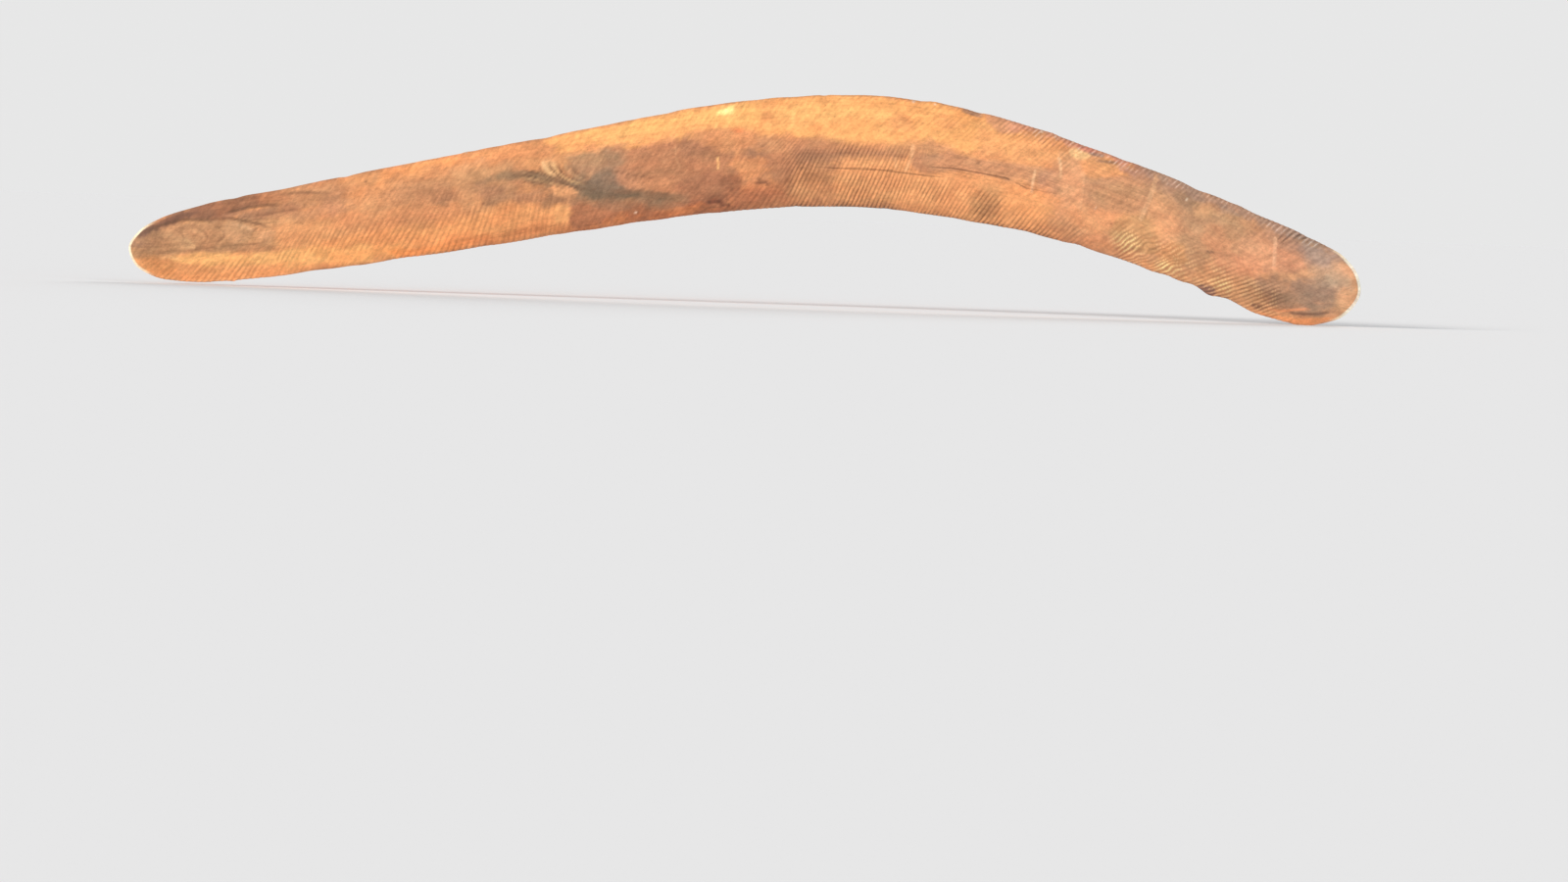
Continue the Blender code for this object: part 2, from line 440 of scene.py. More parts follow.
def back_relief(side):
    """What is cut away from the smooth back, in mm."""
    cut = 0.10 + 0.10 * cloud(side.s / 80.0, side.v / 26.0, 71, 2)
    cut += 0.02 * cloud(side.s / 14.0, side.v / 3.0, 74)
    for depth, *place in BACK_HOLLOWS:
        cut += depth * spot(side, *place)
    # Crumbled wood on the shoulder and in the orange patch.
    cut += 0.35 * np.clip(cloud(side.s / 7.0, side.v / 3.0, 77), 0, 1) * spot(side, 160, -10, 36, 14, -20)
    cut += 0.4 * np.clip(cloud(side.s / 6.0, side.v / 3.0, 79), 0, 1) * spot(side, 240, -76, 38, 14, -14)
    fade = smooth(0.0, RIM_FADE, side.inset)
    return np.clip(cut, 0.0, None) * (0.1 + 0.9 * fade)


# ------------------------------------------------------------------- the paint

def line_gap(side, points):
    """Distance to a smooth line through the points, and the share of its length there."""
    pts = np.array([points[0]] + list(points) + [points[-1]], dtype=float)
    curve = []
    for p0, p1, p2, p3 in zip(pts[:-3], pts[1:-2], pts[2:-1], pts[3:]):
        for u in (0.0, 0.25, 0.5, 0.75):
            curve.append(0.5 * (2 * p1 + (p2 - p0) * u + (2 * p0 - 5 * p1 + 4 * p2 - p3) * u**2
                                + (3 * p1 - p0 - 3 * p2 + p3) * u**3))
    curve = np.array(curve + [pts[-1]])
    best = np.full(side.x.shape, 1e9)
    place = np.zeros(side.x.shape)
    for k, ((ax, az), (bx, bz)) in enumerate(zip(curve[:-1], curve[1:])):
        dx, dz = bx - ax, bz - az
        share = ((side.x - ax) * dx + (side.z - az) * dz) / max(dx * dx + dz * dz, 1e-9)
        share = np.clip(share, 0.0, 1.0)
        gap = np.hypot(side.x - ax - dx * share, side.z - az - dz * share)
        place = np.where(gap < best, (k + share) / (len(curve) - 1), place)
        best = np.minimum(best, gap)
    return best, place


def inside_depth(side, points):
    """How deep inside a smooth closed shape a point is, in mm; negative outside."""
    pts = np.concatenate(smooth_closed_curve(points, 5))
    best = np.full(side.x.shape, 1e9)
    inside = np.zeros(side.x.shape, dtype=bool)
    for (ax, az), (bx, bz) in zip(pts, np.roll(pts, -1, axis=0)):
        dx, dz = bx - ax, bz - az
        share = ((side.x - ax) * dx + (side.z - az) * dz) / max(dx * dx + dz * dz, 1e-9)
        share = np.clip(share, 0.0, 1.0)
        best = np.minimum(best, np.hypot(side.x - ax - dx * share, side.z - az - dz * share))
        if abs(dz) > 1e-9:
            crosses = (side.z < az) != (side.z < bz)
            inside ^= crosses & (side.x < ax + dx * (side.z - az) / dz)
    return np.where(inside, best, -best)


class Paint:
    """Colours of one face, laid on in soft strokes, one over the other.

    Colours are given as they should look, 0 to 255, and an amount of 1 covers fully.
    """

    def __init__(self, side, base, seed, along=8.0, over=4.5):
        self.side = side
        self.seed = seed
        self.colour = np.ones(side.x.shape + (3,)) * seen(*base)
        self.ragged = cloud(side.s / along, side.v / over, seed, 4)
        self.ragged += 0.5 * cloud(3.0 * side.s / along, 2.5 * side.v / over, seed + 3, 2)

    def lay(self, mask, colour):
        """Covers what is there, as far as the mask from 0 to 1 says."""
        m = np.clip(mask, 0.0, 1.0)[:, :, None]
        self.colour = self.colour * (1.0 - m) + seen(*colour) * m

    def zone(self, x0, x1, t0, t1, colour, amount=1.0, soft_x=20.0, soft_t=0.08, ragged=0.25):
        """Between two places along the blade and two shares of its width."""
        side = self.side
        warp = self.ragged * ragged
        along = smooth(x0 - soft_x, x0 + soft_x, side.x + warp * soft_x)
        along = along * smooth(x1 + soft_x, x1 - soft_x, side.x - warp * soft_x)
        over = smooth(t0 - soft_t, t0 + soft_t, side.t + warp * 0.16)
        over = over * smooth(t1 + soft_t, t1 - soft_t, side.t - warp * 0.16)
        self.lay(along * over * amount, colour)

    def dab(self, x, z, long, short, angle, colour, amount=1.0, ragged=0.35, soft=0.55):
        """A soft ellipse."""
        side = self.side
        a = math.radians(angle)
        dx = side.x - x
        dz = side.z - z
        u = (dx * math.cos(a) + dz * math.sin(a)) / long
        w = (-dx * math.sin(a) + dz * math.cos(a)) / short
        r = np.sqrt(u * u + w * w) + ragged * self.ragged * 0.45
        self.lay(smooth(1.0 + soft * 0.5, 1.0 - soft, r) * amount, colour)

    def wash(self, x, z, long, short, angle, factor):
        """Lightens or darkens a soft ellipse; the factor may differ for red, green and blue."""
        near = spot(self.side, x, z, long, short, angle)[:, :, None]
        self.colour = self.colour * (1.0 + near * (np.array(factor) - 1.0))

    def patch(self, points, colour, amount=1.0, soft=3.0, ragged=0.8):
        """A smooth closed shape with a soft, slightly ragged border."""
        depth = inside_depth(self.side, points) + ragged * (0.7 + 0.35 * soft) * self.ragged
        self.lay(smooth(-0.65 * soft, 0.65 * soft, depth) * amount, colour)

    def streak(self, points, width, colour, amount=1.0, taper=0.25):
        """A smooth line that fades out at both ends."""
        gap, share = line_gap(self.side, points)
        ends = smooth(0.0, taper, share) * smooth(1.0, 1.0 - taper, share)
        self.lay(smooth(width * 0.5 + 0.5, width * 0.5 - 0.4, gap) * ends * amount, colour)

    def scratch(self, points, width, colour, amount=1.0):
        """A patchy line with blunt ends."""
        gap = line_gap(self.side, points)[0]
        patchy = 0.75 + 0.35 * cloud(self.side.s / 2.2, self.side.v / 3.0, self.seed + 50, 2)
        self.lay(smooth(width * 0.5 + 0.45, width * 0.5 - 0.3, gap) * patchy * amount, colour)

    def specks(self, spots, colour, amount):
        """Small round dots: x, z, radius."""
        for x, z, r in spots:
            self.dab(x, z, r * 1.2, r, 0, colour, amount, 0.2, 0.6)


# Dark lines of the grain, curled round the knot and wandering in the long tip:
# points, width (mm), strength.
DARK_GRAIN = [
    ([(-183, -12.5), (-182, -16), (-179, -19), (-174, -22), (-167, -25)], 1.2, 0.9),
    ([(-177.5, -13), (-176.5, -17), (-173, -21), (-166, -24), (-158, -25)], 1.2, 0.9),
    ([(-189, -14), (-187.5, -18), (-183, -21), (-176, -24), (-168, -26.5)], 1.1, 0.7),
    ([(-207, -21.5), (-197, -21), (-187, -23.5), (-176, -25.2), (-164, -27.6), (-150, -28.5)], 1.2, 0.8),
    ([(-201, -24.6), (-191, -25), (-180, -26.6), (-170, -28)], 1.0, 0.6),
    ([(-199, -18.6), (-191, -19.3), (-184, -21.4)], 1.0, 0.7),
    ([(-194, -27), (-186, -28.4), (-176, -30.6)], 0.9, 0.4),
    ([(-170, -13), (-168, -17), (-163, -20.5), (-156, -22)], 1.0, 0.5),
    ([(-150, -16), (-141, -17.5), (-131, -19), (-116, -20)], 0.9, 0.6),
    ([(-96, -33.5), (-90, -36), (-80, -35)], 0.9, 0.6),
    ([(-420, -62.5), (-409, -58), (-398, -54.8), (-388, -54), (-377, -54)], 1.7, 0.9),
    ([(-380, -54.2), (-368, -52.6), (-358, -54), (-350, -55.4), (-345, -57)], 1.4, 0.8),
    ([(-374, -50.6), (-362, -46.8), (-350, -44.4), (-338, -43.2)], 1.7, 0.8),
    ([(-346, -38.6), (-334, -36.6), (-322, -35.6), (-306, -36)], 1.3, 0.6),
    ([(-353, -50.5), (-343, -48.6), (-334, -46), (-326, -46.4)], 1.0, 0.5),
    ([(-394, -72), (-385, -70.4), (-375, -69.6)], 1.3, 0.6),
    ([(-409, -74), (-400, -72.6), (-392, -72.4)], 1.2, 0.5),
    ([(-403, -60), (-397, -62), (-395, -66), (-401, -70)], 1.0, 0.4),
    ([(-391, -58), (-383, -61), (-381, -65), (-386, -69)], 1.0, 0.4),
    ([(-378, -57), (-372, -60), (-372, -64), (-378, -68)], 1.0, 0.45),
    ([(-364, -61), (-355, -59.5), (-351, -56.5)], 1.0, 0.4),
    ([(-372, -68.6), (-360, -67.4), (-347, -66.2)], 1.2, 0.5),
]

# Broad clouds that lighten, darken or grey the front, partly the wood's own tone and partly painted light
# and shade: x, z, half sizes, angle, factor.
FRONT_WASHES = [
    # The long tip is duller, and so is the crest that runs on from it, partly as painted shade.
    (-416, -69, 20, 20, 0, 0.78),
    (-345, -46, 66, 10, 11, 0.86),
    # Lighter on both edges before the knot, and along the inner edge past it: partly pale wood and partly
    # painted light on the margins.
    (-235, -60, 26, 10, 11, 1.28),
    (-235, -17, 20, 9, 12, 1.16),
    (-145, -42, 24, 9, 8, 1.25),
    (-85, -31, 22, 8, 6, 1.20),
    # Darker wood on the outer side of the knot and beside it, and a grey haze past it.
    (-190, -7, 34, 8, 12, 0.82),
    (-204, -36, 18, 9, 10, 0.88),
    (-150, -22, 30, 13, 0, (0.94, 1.0, 1.14)),
    # The elbow: brown hollows, a pale middle and a dull outer edge.
    (-85, -2, 20, 10, 6, 0.80),
    (-25, -16, 18, 9, 0, 0.82),
    (5, 0, 20, 16, 0, 1.14),
    (65, 18, 22, 9, -10, 0.84),
    # The short arm: pale inside, less red outside, dark at the splinter, greyish at the tip.
    (170, -43, 42, 13, -22, 1.18),
    (205, -33, 56, 20, -21, (0.86, 0.96, 0.98)),
    (245, -78, 17, 12, -17, 0.80),
    (262, -46, 32, 12, -28, (0.84, 0.98, 1.12)),
    (272, -72, 30, 26, 0, (0.97, 1.08, 1.20)),
]


def paint_long_arm(p):
    """The long arm, from its tip on."""
    # Lighter inner and outer bands and a darker crest: partly the wood's own tone and partly painted light
    # and shade of the crowned face.
    p.zone(-345, -200, 0.02, 0.36, (243, 168, 108), 0.8)
    p.zone(-340, -215, 0.36, 0.72, (222, 154, 106), 0.7)
    p.zone(-345, -205, 0.74, 1.1, (236, 160, 104), 0.65)
    # Painted light on the bevel along the long tip's inner edge.
    p.zone(-440, -338, -0.1, 0.24, (255, 182, 122), 0.9)
    p.patch([(-425, -66), (-410, -58.5), (-398, -55), (-380, -54), (-362, -50), (-345, -47), (-328, -48),
             (-331, -58), (-341, -69), (-370, -72.5), (-395, -74.5), (-412, -77), (-425, -78)],
            (190, 143, 104), 0.9, 3.0, 0.5)
    p.patch([(-426, -66), (-415, -62), (-406, -64), (-408, -72), (-416, -77), (-424, -77)],
            (172, 128, 92), 0.7, 6)
    p.patch([(-347, -50), (-328, -48), (-328, -60), (-338, -72), (-360, -73), (-354, -60)],
            (222, 164, 116), 0.85, 8)
    p.patch([(-345, -62), (-310, -52), (-300, -58), (-318, -66), (-344, -71)], (232, 166, 112), 0.7, 6)
    p.patch([(-425, -65), (-412, -56), (-400, -50), (-380, -43.5), (-360, -38.5), (-345, -36),
             (-330, -37), (-345, -43), (-358, -46.5), (-368, -50.5), (-380, -54), (-398, -55),
             (-410, -58.8), (-421, -65)], (144, 99, 75), 0.93, 3.0, 0.5)
    p.patch([(-424, -66), (-410, -56), (-396, -50), (-388, -49), (-394, -53), (-408, -59), (-420, -65)],
            (118, 84, 68), 0.7, 3)
    p.patch([(-380, -46), (-366, -41), (-350, -39), (-346, -42), (-362, -45), (-374, -50)],
            (172, 118, 84), 0.6, 3)
    p.patch([(-372, -51), (-352, -46), (-335, -42), (-320, -43), (-338, -49), (-358, -54)],
            (180, 130, 98), 0.8, 3.5)
    p.patch([(-352, -38), (-330, -33.5), (-306, -29), (-304, -35), (-330, -38), (-350, -43)],
            (206, 142, 98), 0.7, 4)
    p.patch([(-370, -54), (-356, -57), (-355, -61), (-365, -66), (-373, -61)], (210, 162, 120), 0.6, 2)
    p.patch([(-403, -61), (-393, -61), (-388, -65), (-392, -70), (-402, -67)], (206, 160, 118), 0.5, 3)
    p.patch([(-352, -61), (-341, -59), (-342, -66), (-351, -66)], (216, 164, 122), 0.5, 3)
    p.patch([(-392, -72.6), (-380, -70), (-364, -68), (-342, -66), (-340, -68.6), (-362, -71.4),
             (-380, -73.8)], (170, 126, 92), 0.5, 4)
    # Painted light along the long arm's inner edge and its bevel.
    p.patch([(-402, -77.5), (-385, -74.3), (-365, -73), (-345, -71), (-330, -70), (-300, -67),
             (-284, -67), (-284, -72.5), (-300, -76), (-320, -77.5), (-345, -78.5), (-370, -79.5),
             (-395, -80)], (255, 194, 126), 0.9, 3.0, 0.7)
    p.patch([(-320, -69), (-298, -67), (-274, -65), (-258, -63), (-262, -69), (-286, -73), (-305, -76.5)],
            (253, 178, 112), 0.75, 5)
    p.patch([(-422, -77), (-408, -77.5), (-398, -81), (-402, -88), (-415, -86)], (212, 146, 92), 0.6, 4)
    p.patch([(-316, -40), (-303, -38), (-300, -44), (-312, -48)], (190, 136, 104), 0.6, 5)
    p.patch([(-332, -37), (-300, -35), (-296, -40), (-318, -44), (-332, -47)], (204, 150, 110), 0.6, 6)
    p.patch([(-280, -28), (-262, -27), (-240, -27), (-238, -38), (-256, -40), (-278, -39)],
            (190, 138, 100), 0.7, 5)
    p.patch([(-252, -29), (-240, -29), (-238, -38), (-250, -39)], (168, 122, 88), 0.5, 4)
    p.patch([(-290, -32), (-276, -30), (-272, -40), (-290, -46)], (212, 156, 110), 0.6, 6)
    p.patch([(-270, -42), (-250, -41), (-246, -49), (-268, -52)], (208, 142, 98), 0.6, 6)
    p.patch([(-300, -27), (-280, -22), (-258, -15), (-236, -11), (-236, -20), (-262, -26), (-284, -31)],
            (248, 170, 106), 0.6, 6)
    p.patch([(-280, -69), (-256, -65), (-236, -60), (-218, -58), (-236, -65), (-264, -71)],
            (255, 160, 92), 0.75, 4)
    p.patch([(-284, -26), (-262, -22), (-240, -17), (-214, -14), (-196, -16), (-200, -26), (-230, -30),
             (-264, -32)], (196, 140, 100), 0.7, 7)
    p.patch([(-345, -38), (-310, -30), (-282, -22), (-282, -28), (-310, -36), (-340, -44)],
            (196, 140, 100), 0.5, 5)
    p.patch([(-262, -65), (-240, -61), (-220, -57), (-220, -52), (-244, -56), (-262, -60)],
            (250, 172, 110), 0.7, 4)
    p.patch([(-246, -39), (-222, -36), (-198, -32), (-192, -24), (-210, -22), (-240, -30)],
            (178, 126, 92), 0.65, 6)
    p.patch([(-338, -47), (-318, -44), (-308, -42), (-312, -48), (-334, -51)], (188, 134, 98), 0.6, 4)


def paint_beside_knot(p):
    """Left of the knot and under it."""
    p.patch([(-238, -18), (-214, -14), (-204, -18), (-206, -36), (-236, -38)], (204, 152, 108), 0.7, 8)
    p.patch([(-212, -38), (-190, -36), (-172, -36), (-171, -48), (-200, -54), (-222, -56)],
            (240, 166, 108), 0.8, 5)
    p.patch([(-178, -38), (-171.5, -37.5), (-170.8, -47.5), (-178, -48)], (250, 184, 122), 0.6, 1.5, 0.3)
    p.patch([(-238, -58), (-218, -55.5), (-196, -52), (-172, -48), (-150, -46), (-150, -49), (-176, -54),
             (-200, -59), (-230, -64), (-246, -64)], (206, 128, 80), 0.6, 4)


def paint_middle(p):
    """The middle is brown, partly as painted shade on the crest, and redder and darker towards the inner
    edge.
    """
    p.patch([(-169, -36), (-150, -34), (-120, -33), (-96, -30), (-74, -24), (-62, -22), (-50, -12),
             (-42, -12), (-40, -22), (-56, -30), (-74, -38), (-98, -43), (-130, -48), (-150, -51),
             (-169, -52)], (176, 117, 83), 0.95, 3.0)
    p.patch([(-168, -38), (-150, -37), (-146, -42), (-152, -46), (-168, -46)], (190, 128, 92), 0.6, 5)
    p.patch([(-158, -29), (-140, -29), (-122, -29), (-112, -33), (-130, -37), (-152, -38)],
            (150, 108, 80), 0.7, 5)
    p.patch([(-152, -2), (-130, -1), (-112, 3), (-100, 7), (-90, 9), (-76, 8), (-60, 6), (-36, 6),
             (-12, 6), (12, 3), (28, 2), (24, -3), (-2, -4), (-14, -12), (-40, -14), (-58, -22),
             (-78, -25), (-98, -31), (-122, -32), (-146, -28), (-148, -16)], (190, 133, 97), 0.92, 4.0)
    p.patch([(-146, -18), (-128, -20), (-108, -22), (-96, -26), (-104, -29), (-124, -27), (-142, -25)],
            (212, 148, 106), 0.6, 4)
    p.patch([(-106, 2), (-94, 6), (-88, 0), (-94, -6), (-106, -5)], (172, 120, 90), 0.6, 5)
    p.patch([(-90, 10), (-70, 10), (-64, 2), (-74, -4), (-88, 0)], (236, 164, 112), 0.75, 5)
    p.patch([(-66, 6), (-44, 5), (-40, 0), (-58, -2)], (220, 158, 112), 0.7, 5)
    p.patch([(-69, 1), (-60, 1), (-57, -5), (-69, -6)], (168, 120, 92), 0.75, 6, 0.9)
    p.patch([(-75, -6), (-62, -6), (-59, -13), (-60, -22), (-72, -22)], (232, 158, 106), 0.7, 7, 1.6)
    p.patch([(-76, -22), (-60, -22), (-44, -25), (-40, -33), (-60, -36), (-78, -34)], (228, 146, 98),
            0.6, 5)
    p.patch([(-42, 2), (-14, 3), (-8, -6), (-36, -9)], (176, 124, 94), 0.55, 8)
    p.patch([(-104, -18), (-80, -16), (-70, -20), (-78, -34), (-94, -38), (-108, -34)], (168, 112, 84),
            0.6, 8, 1.1)
    p.patch([(-93, -30), (-82, -29), (-78, -31), (-84, -34), (-92, -34)], (126, 84, 62), 0.5, 4)
    p.streak([(-91, -33.4), (-85, -32), (-80, -33.4)], 2.4, (92, 58, 46), 0.85)
    p.streak([(-84, -35), (-79, -34), (-76, -35)], 1.6, (100, 64, 50), 0.7)
    p.streak([(-64, -21), (-58, -20), (-54, -21.5)], 1.6, (112, 74, 56), 0.7)
    p.patch([(-80, -18), (-70, -18), (-70, -22), (-82, -22)], (146, 96, 70), 0.5, 2.5)
    p.patch([(-76, -28), (-54, -25), (-40, -27), (-42, -32), (-60, -36), (-76, -38)], (168, 112, 82),
            0.6, 4)
    p.zone(-150, -76, -0.1, 0.09, (168, 96, 62), 0.5, 18, 0.04)


def paint_elbow_strokes(p):
    """Strokes of the elbow lie on bare, lighter wood; the lightness is partly painted light on the inner
    margin.
    """
    p.patch([(-38, -12), (-14, -12), (-12, -31), (-40, -33)], (214, 152, 106), 0.8, 6)
    p.patch([(-13, -5), (0, -5), (20, -5), (34, -10), (60, -14), (84, -14), (110, -20), (118, -32),
             (100, -40), (60, -34), (20, -30), (-12, -30)], (244, 172, 116), 0.9, 5)
    p.patch([(-8, -18), (20, -20), (20, -27), (-10, -28)], (230, 164, 112), 0.5, 6)
    p.zone(-45, 24, -0.1, 0.05, (196, 138, 100), 0.6, 12, 0.03)
    p.patch([(64, -22), (80, -20), (80, -34), (66, -37)], (200, 148, 102), 0.6, 6)
    p.patch([(72, -28), (80, -28), (80, -33), (73, -34)], (164, 118, 84), 0.5, 4)


def paint_elbow_outside(p):
    """The bright outer side of the elbow: partly the wood's own pale tone and partly painted light on the
    margin of the crowned face.
    """
    p.patch([(-186, -1), (-172, -6), (-150, -2), (-128, 0), (-112, 4), (-98, 8), (-84, 10), (-60, 8),
             (-34, 8), (-8, 7), (16, 5), (40, 6), (70, 3), (86, 4), (92, 12), (66, 26), (30, 32), (0, 35),
             (-50, 32), (-100, 24), (-150, 12), (-186, 4)], (252, 180, 113), 0.95, 4.0, 1.2)
    p.patch([(-168, 3), (-130, 6), (-100, 14), (-60, 18), (-60, 22), (-100, 19), (-140, 10)],
            (255, 194, 120), 0.7, 5)
    # A painted highlight: a small near-white glint.
    p.patch([(-86, 19.2), (-83, 21.6), (-76.5, 23), (-76.6, 19.8), (-81, 18.8)], (255, 236, 156),
            0.95, 1.5, 0.2)
    p.patch([(-56, 22), (-30, 25), (0, 25), (10, 22), (-10, 20), (-40, 19)], (255, 198, 124), 0.6, 5)
    p.patch([(-100, 7), (-84, 9), (-62, 7), (-62, 3), (-84, 2), (-98, 3)], (226, 156, 106), 0.7, 4)
    p.patch([(-56, 4), (-30, 5), (20, 5), (50, 2), (52, -2), (20, 0), (-30, 1)], (212, 152, 106), 0.55, 4)
    p.patch([(-50, 12), (-20, 14), (10, 14), (10, 9), (-30, 8)], (255, 186, 116), 0.5, 5)
    p.dab(-57, 18, 4, 3, 10, (218, 142, 90), 0.5)
    p.dab(-59, 25, 7, 3, 20, (222, 150, 96), 0.5)
    p.dab(-74, 10, 4, 1.6, 0, (250, 146, 92), 0.6)
    p.dab(-28, 12, 5, 3, 0, (244, 156, 96), 0.5)
    p.dab(22, 17, 10, 5, -10, (228, 158, 104), 0.6, 0.9)
    p.dab(48, 17, 8, 5, -10, (244, 170, 114), 0.5, 0.9)


def paint_grained_band(p):
    """Lengthwise grained band right of the elbow."""
    p.patch([(29, 3), (45, 5), (56, 0), (80, -3), (98, -5), (119, -9), (119, -20), (98, -19), (78, -12),
             (50, -9), (29, -8)], (204, 148, 110), 0.85, 2.0, 0.4)
    p.patch([(30.5, 2), (45, 3), (46, -1), (30.5, -1)], (182, 134, 102), 0.7, 3.0, 0.5)
    p.patch([(24, 6), (40, 7), (52, 4), (44, 1), (28, 1)], (226, 162, 112), 0.6, 3)
    p.patch([(31, -6), (44, -6), (58, -8), (50, -10), (31, -9)], (186, 132, 97), 0.6, 2)
    p.patch([(102, -9.5), (116, -9.5), (115, -18.5), (102, -17.5)], (200, 146, 114), 0.75, 2)
    p.patch([(84, -18), (112, -22), (112, -30), (96, -34), (82, -26)], (244, 168, 110), 0.6, 5)
    p.patch([(66, 20), (92, 14), (112, 8), (120, 2), (104, -2), (84, 0), (68, 4)], (250, 180, 120),
            0.7, 5)


def paint_short_arm(p):
    """The short arm, greyer and pinker."""
    p.patch([(120, 4), (150, -2), (182, -10), (232, -30), (296, -50), (296, -92), (232, -88), (182, -66),
             (142, -54), (120, -50)], (216, 160, 119), 0.85, 12)
    p.patch([(176, -12), (232, -32), (270, -46), (262, -58), (230, -58), (196, -50), (180, -34)],
            (200, 148, 112), 0.75, 9)
    p.patch([(104, -41), (130, -42), (150, -47), (160, -56), (134, -54), (104, -48)], (204, 138, 98),
            0.6, 5)
    p.patch([(120, -6), (129.5, -7), (127.5, -29), (121.5, -30)], (236, 172, 127), 0.55, 1.5, 0.4)
    p.patch([(131, -9), (150, -8), (168, -12), (166, -28), (150, -30), (131, -28)], (202, 150, 112),
            0.85, 2.5, 0.5)
    p.patch([(136, -18), (160, -16), (160, -28), (138, -27)], (192, 144, 104), 0.5, 5)
    p.patch([(128, -1.5), (150, -3), (160, -6), (150, -9), (130, -8)], (234, 164, 108), 0.7, 2.5)
    p.patch([(118, -30), (150, -32), (158, -34), (150, -40), (122, -38)], (236, 164, 114), 0.6, 4)
    p.patch([(150, -34), (172, -34), (176, -44), (172, -52), (156, -50), (146, -42)], (194, 148, 102),
            0.75, 4)
    p.patch([(150, -1), (172, -7), (196, -16), (200, -24), (182, -20), (160, -9)], (176, 134, 108),
            0.75, 5)
    p.patch([(171, -20), (184, -26), (186, -40), (176, -46), (169, -36)], (230, 164, 118), 0.6, 6)
    p.patch([(183, -16), (192, -15), (200, -19), (197, -26), (186, -26)], (172, 134, 104), 0.8, 3.5)
    p.patch([(195, -25), (206, -25), (206, -30), (197, -31)], (230, 168, 120), 0.6, 5)
    p.patch([(187, -42), (198, -43), (203, -50), (201, -62), (190, -62)], (188, 144, 108), 0.75, 4)
    p.patch([(176, -50), (188, -48), (190, -58), (178, -62)], (206, 148, 98), 0.6, 4)
    p.patch([(200, -34), (212, -36), (222, -44), (214, -50), (202, -46)], (224, 154, 112), 0.6, 5)
    p.patch([(212, -29), (224, -33), (225, -42), (214, -42)], (196, 148, 110), 0.65, 4)
    p.patch([(224, -42), (242, -41), (242.6, -59), (230, -62), (220, -52)], (230, 166, 126), 0.75, 5)
    p.patch([(208, -54), (228, -56), (240, -62), (226, -66), (208, -62)], (222, 154, 116), 0.6, 5)
    p.patch([(243.5, -42), (258, -44), (262, -56), (252, -62), (243.5, -60)], (208, 148, 114), 0.75, 4)
    p.patch([(262, -53), (280, -54), (288, -64), (280, -72), (264, -66)], (190, 148, 118), 0.7, 6)
    p.patch([(232, -33), (256, -42), (266, -47), (256, -48), (236, -41)], (186, 138, 110), 0.6, 5)
    p.patch([(258, -45), (272, -47), (282, -53), (276, -57), (262, -54)], (186, 148, 128), 0.75, 5)
    p.patch([(234, -64), (250, -66), (268, -62), (280, -66), (280, -80), (264, -85), (246, -83),
             (230, -76)], (170, 134, 108), 0.85, 9, 1.1)
    p.patch([(254, -69), (272, -67), (276, -74), (270, -80), (256, -78)], (154, 124, 102), 0.6, 8, 1.1)
    p.patch([(279, -53), (288, -56), (292, -62), (284, -64), (277, -60)], (242, 184, 140), 0.75, 4)
    p.patch([(281, -71), (292, -68), (291, -80), (283, -83), (280, -78)], (240, 182, 134), 0.8, 4)
    p.patch([(272, -60), (288, -64), (290, -70), (278, -70)], (206, 168, 134), 0.6, 4)
    p.patch([(198, -62), (226, -68), (240, -78), (228, -83), (212, -76), (196, -68)], (206, 152, 108),
            0.6, 5)


def paint_sliver(p):
    """The split-off sliver along the short arm's inner edge."""
    p.patch([(228, -84), (240, -86), (256, -88), (270, -87.4), (280, -87), (274, -91.5), (255, -92),
             (238, -89.5)], (246, 168, 113), 0.95, 1.5, 0.3)
    p.streak([(238, -83), (248, -84), (256, -83), (266, -82.4)], 1.3, (236, 158, 112), 0.8)
    p.patch([(229, -80.6), (236, -80.8), (240, -82.4), (233, -83.6)], (116, 86, 72), 0.75, 1.6, 0.3)
    p.streak([(250, -84.6), (260, -85.3), (270, -84.8), (277, -83.6)], 1.5, (122, 92, 74), 0.75)
    # Painted shade on the underside of the step in the edge.
    p.patch([(199, -71.5), (209, -74), (209, -77), (199, -75)], (130, 98, 92), 0.8, 1.5)
    p.dab(204.4, -51.2, 3.2, 1.0, -4, (120, 94, 76), 0.75, 0.3, 0.4)


def paint_outer_edge(p):
    """The outer edge is grey and pink past the elbow, with pale scraps on it."""
    p.zone(84, 165, 0.94, 1.1, (214, 150, 124), 0.7, 14, 0.03)
    p.zone(160, 300, 0.92, 1.1, (176, 144, 126), 0.75, 16, 0.06)
    p.streak([(56, 27), (62, 25), (70, 23)], 2.4, (150, 122, 108), 0.7)
    p.patch([(70, 25), (72, 20), (90, 15), (92, 19)], (222, 158, 126), 0.6, 2, 0.6)
    p.patch([(120, 4.6), (130, 5.2), (133, 2.2), (122, 1.8)], (252, 204, 146), 0.9, 1.5, 0.4)
    p.patch([(124, 9), (127, 6), (136, 5), (138, 8)], (220, 140, 120), 0.8, 1.5, 0.4)
    p.streak([(131, 4), (136, 3.2), (142, 2.2)], 1.8, (150, 126, 114), 0.7)
    p.streak([(136, -0.4), (143, -0.8), (150, -1.2)], 1.5, (138, 108, 88), 0.7)
    p.patch([(143, 4), (146, 0.6), (156, -2), (156, 1)], (228, 158, 132), 0.75, 1.5, 0.4)


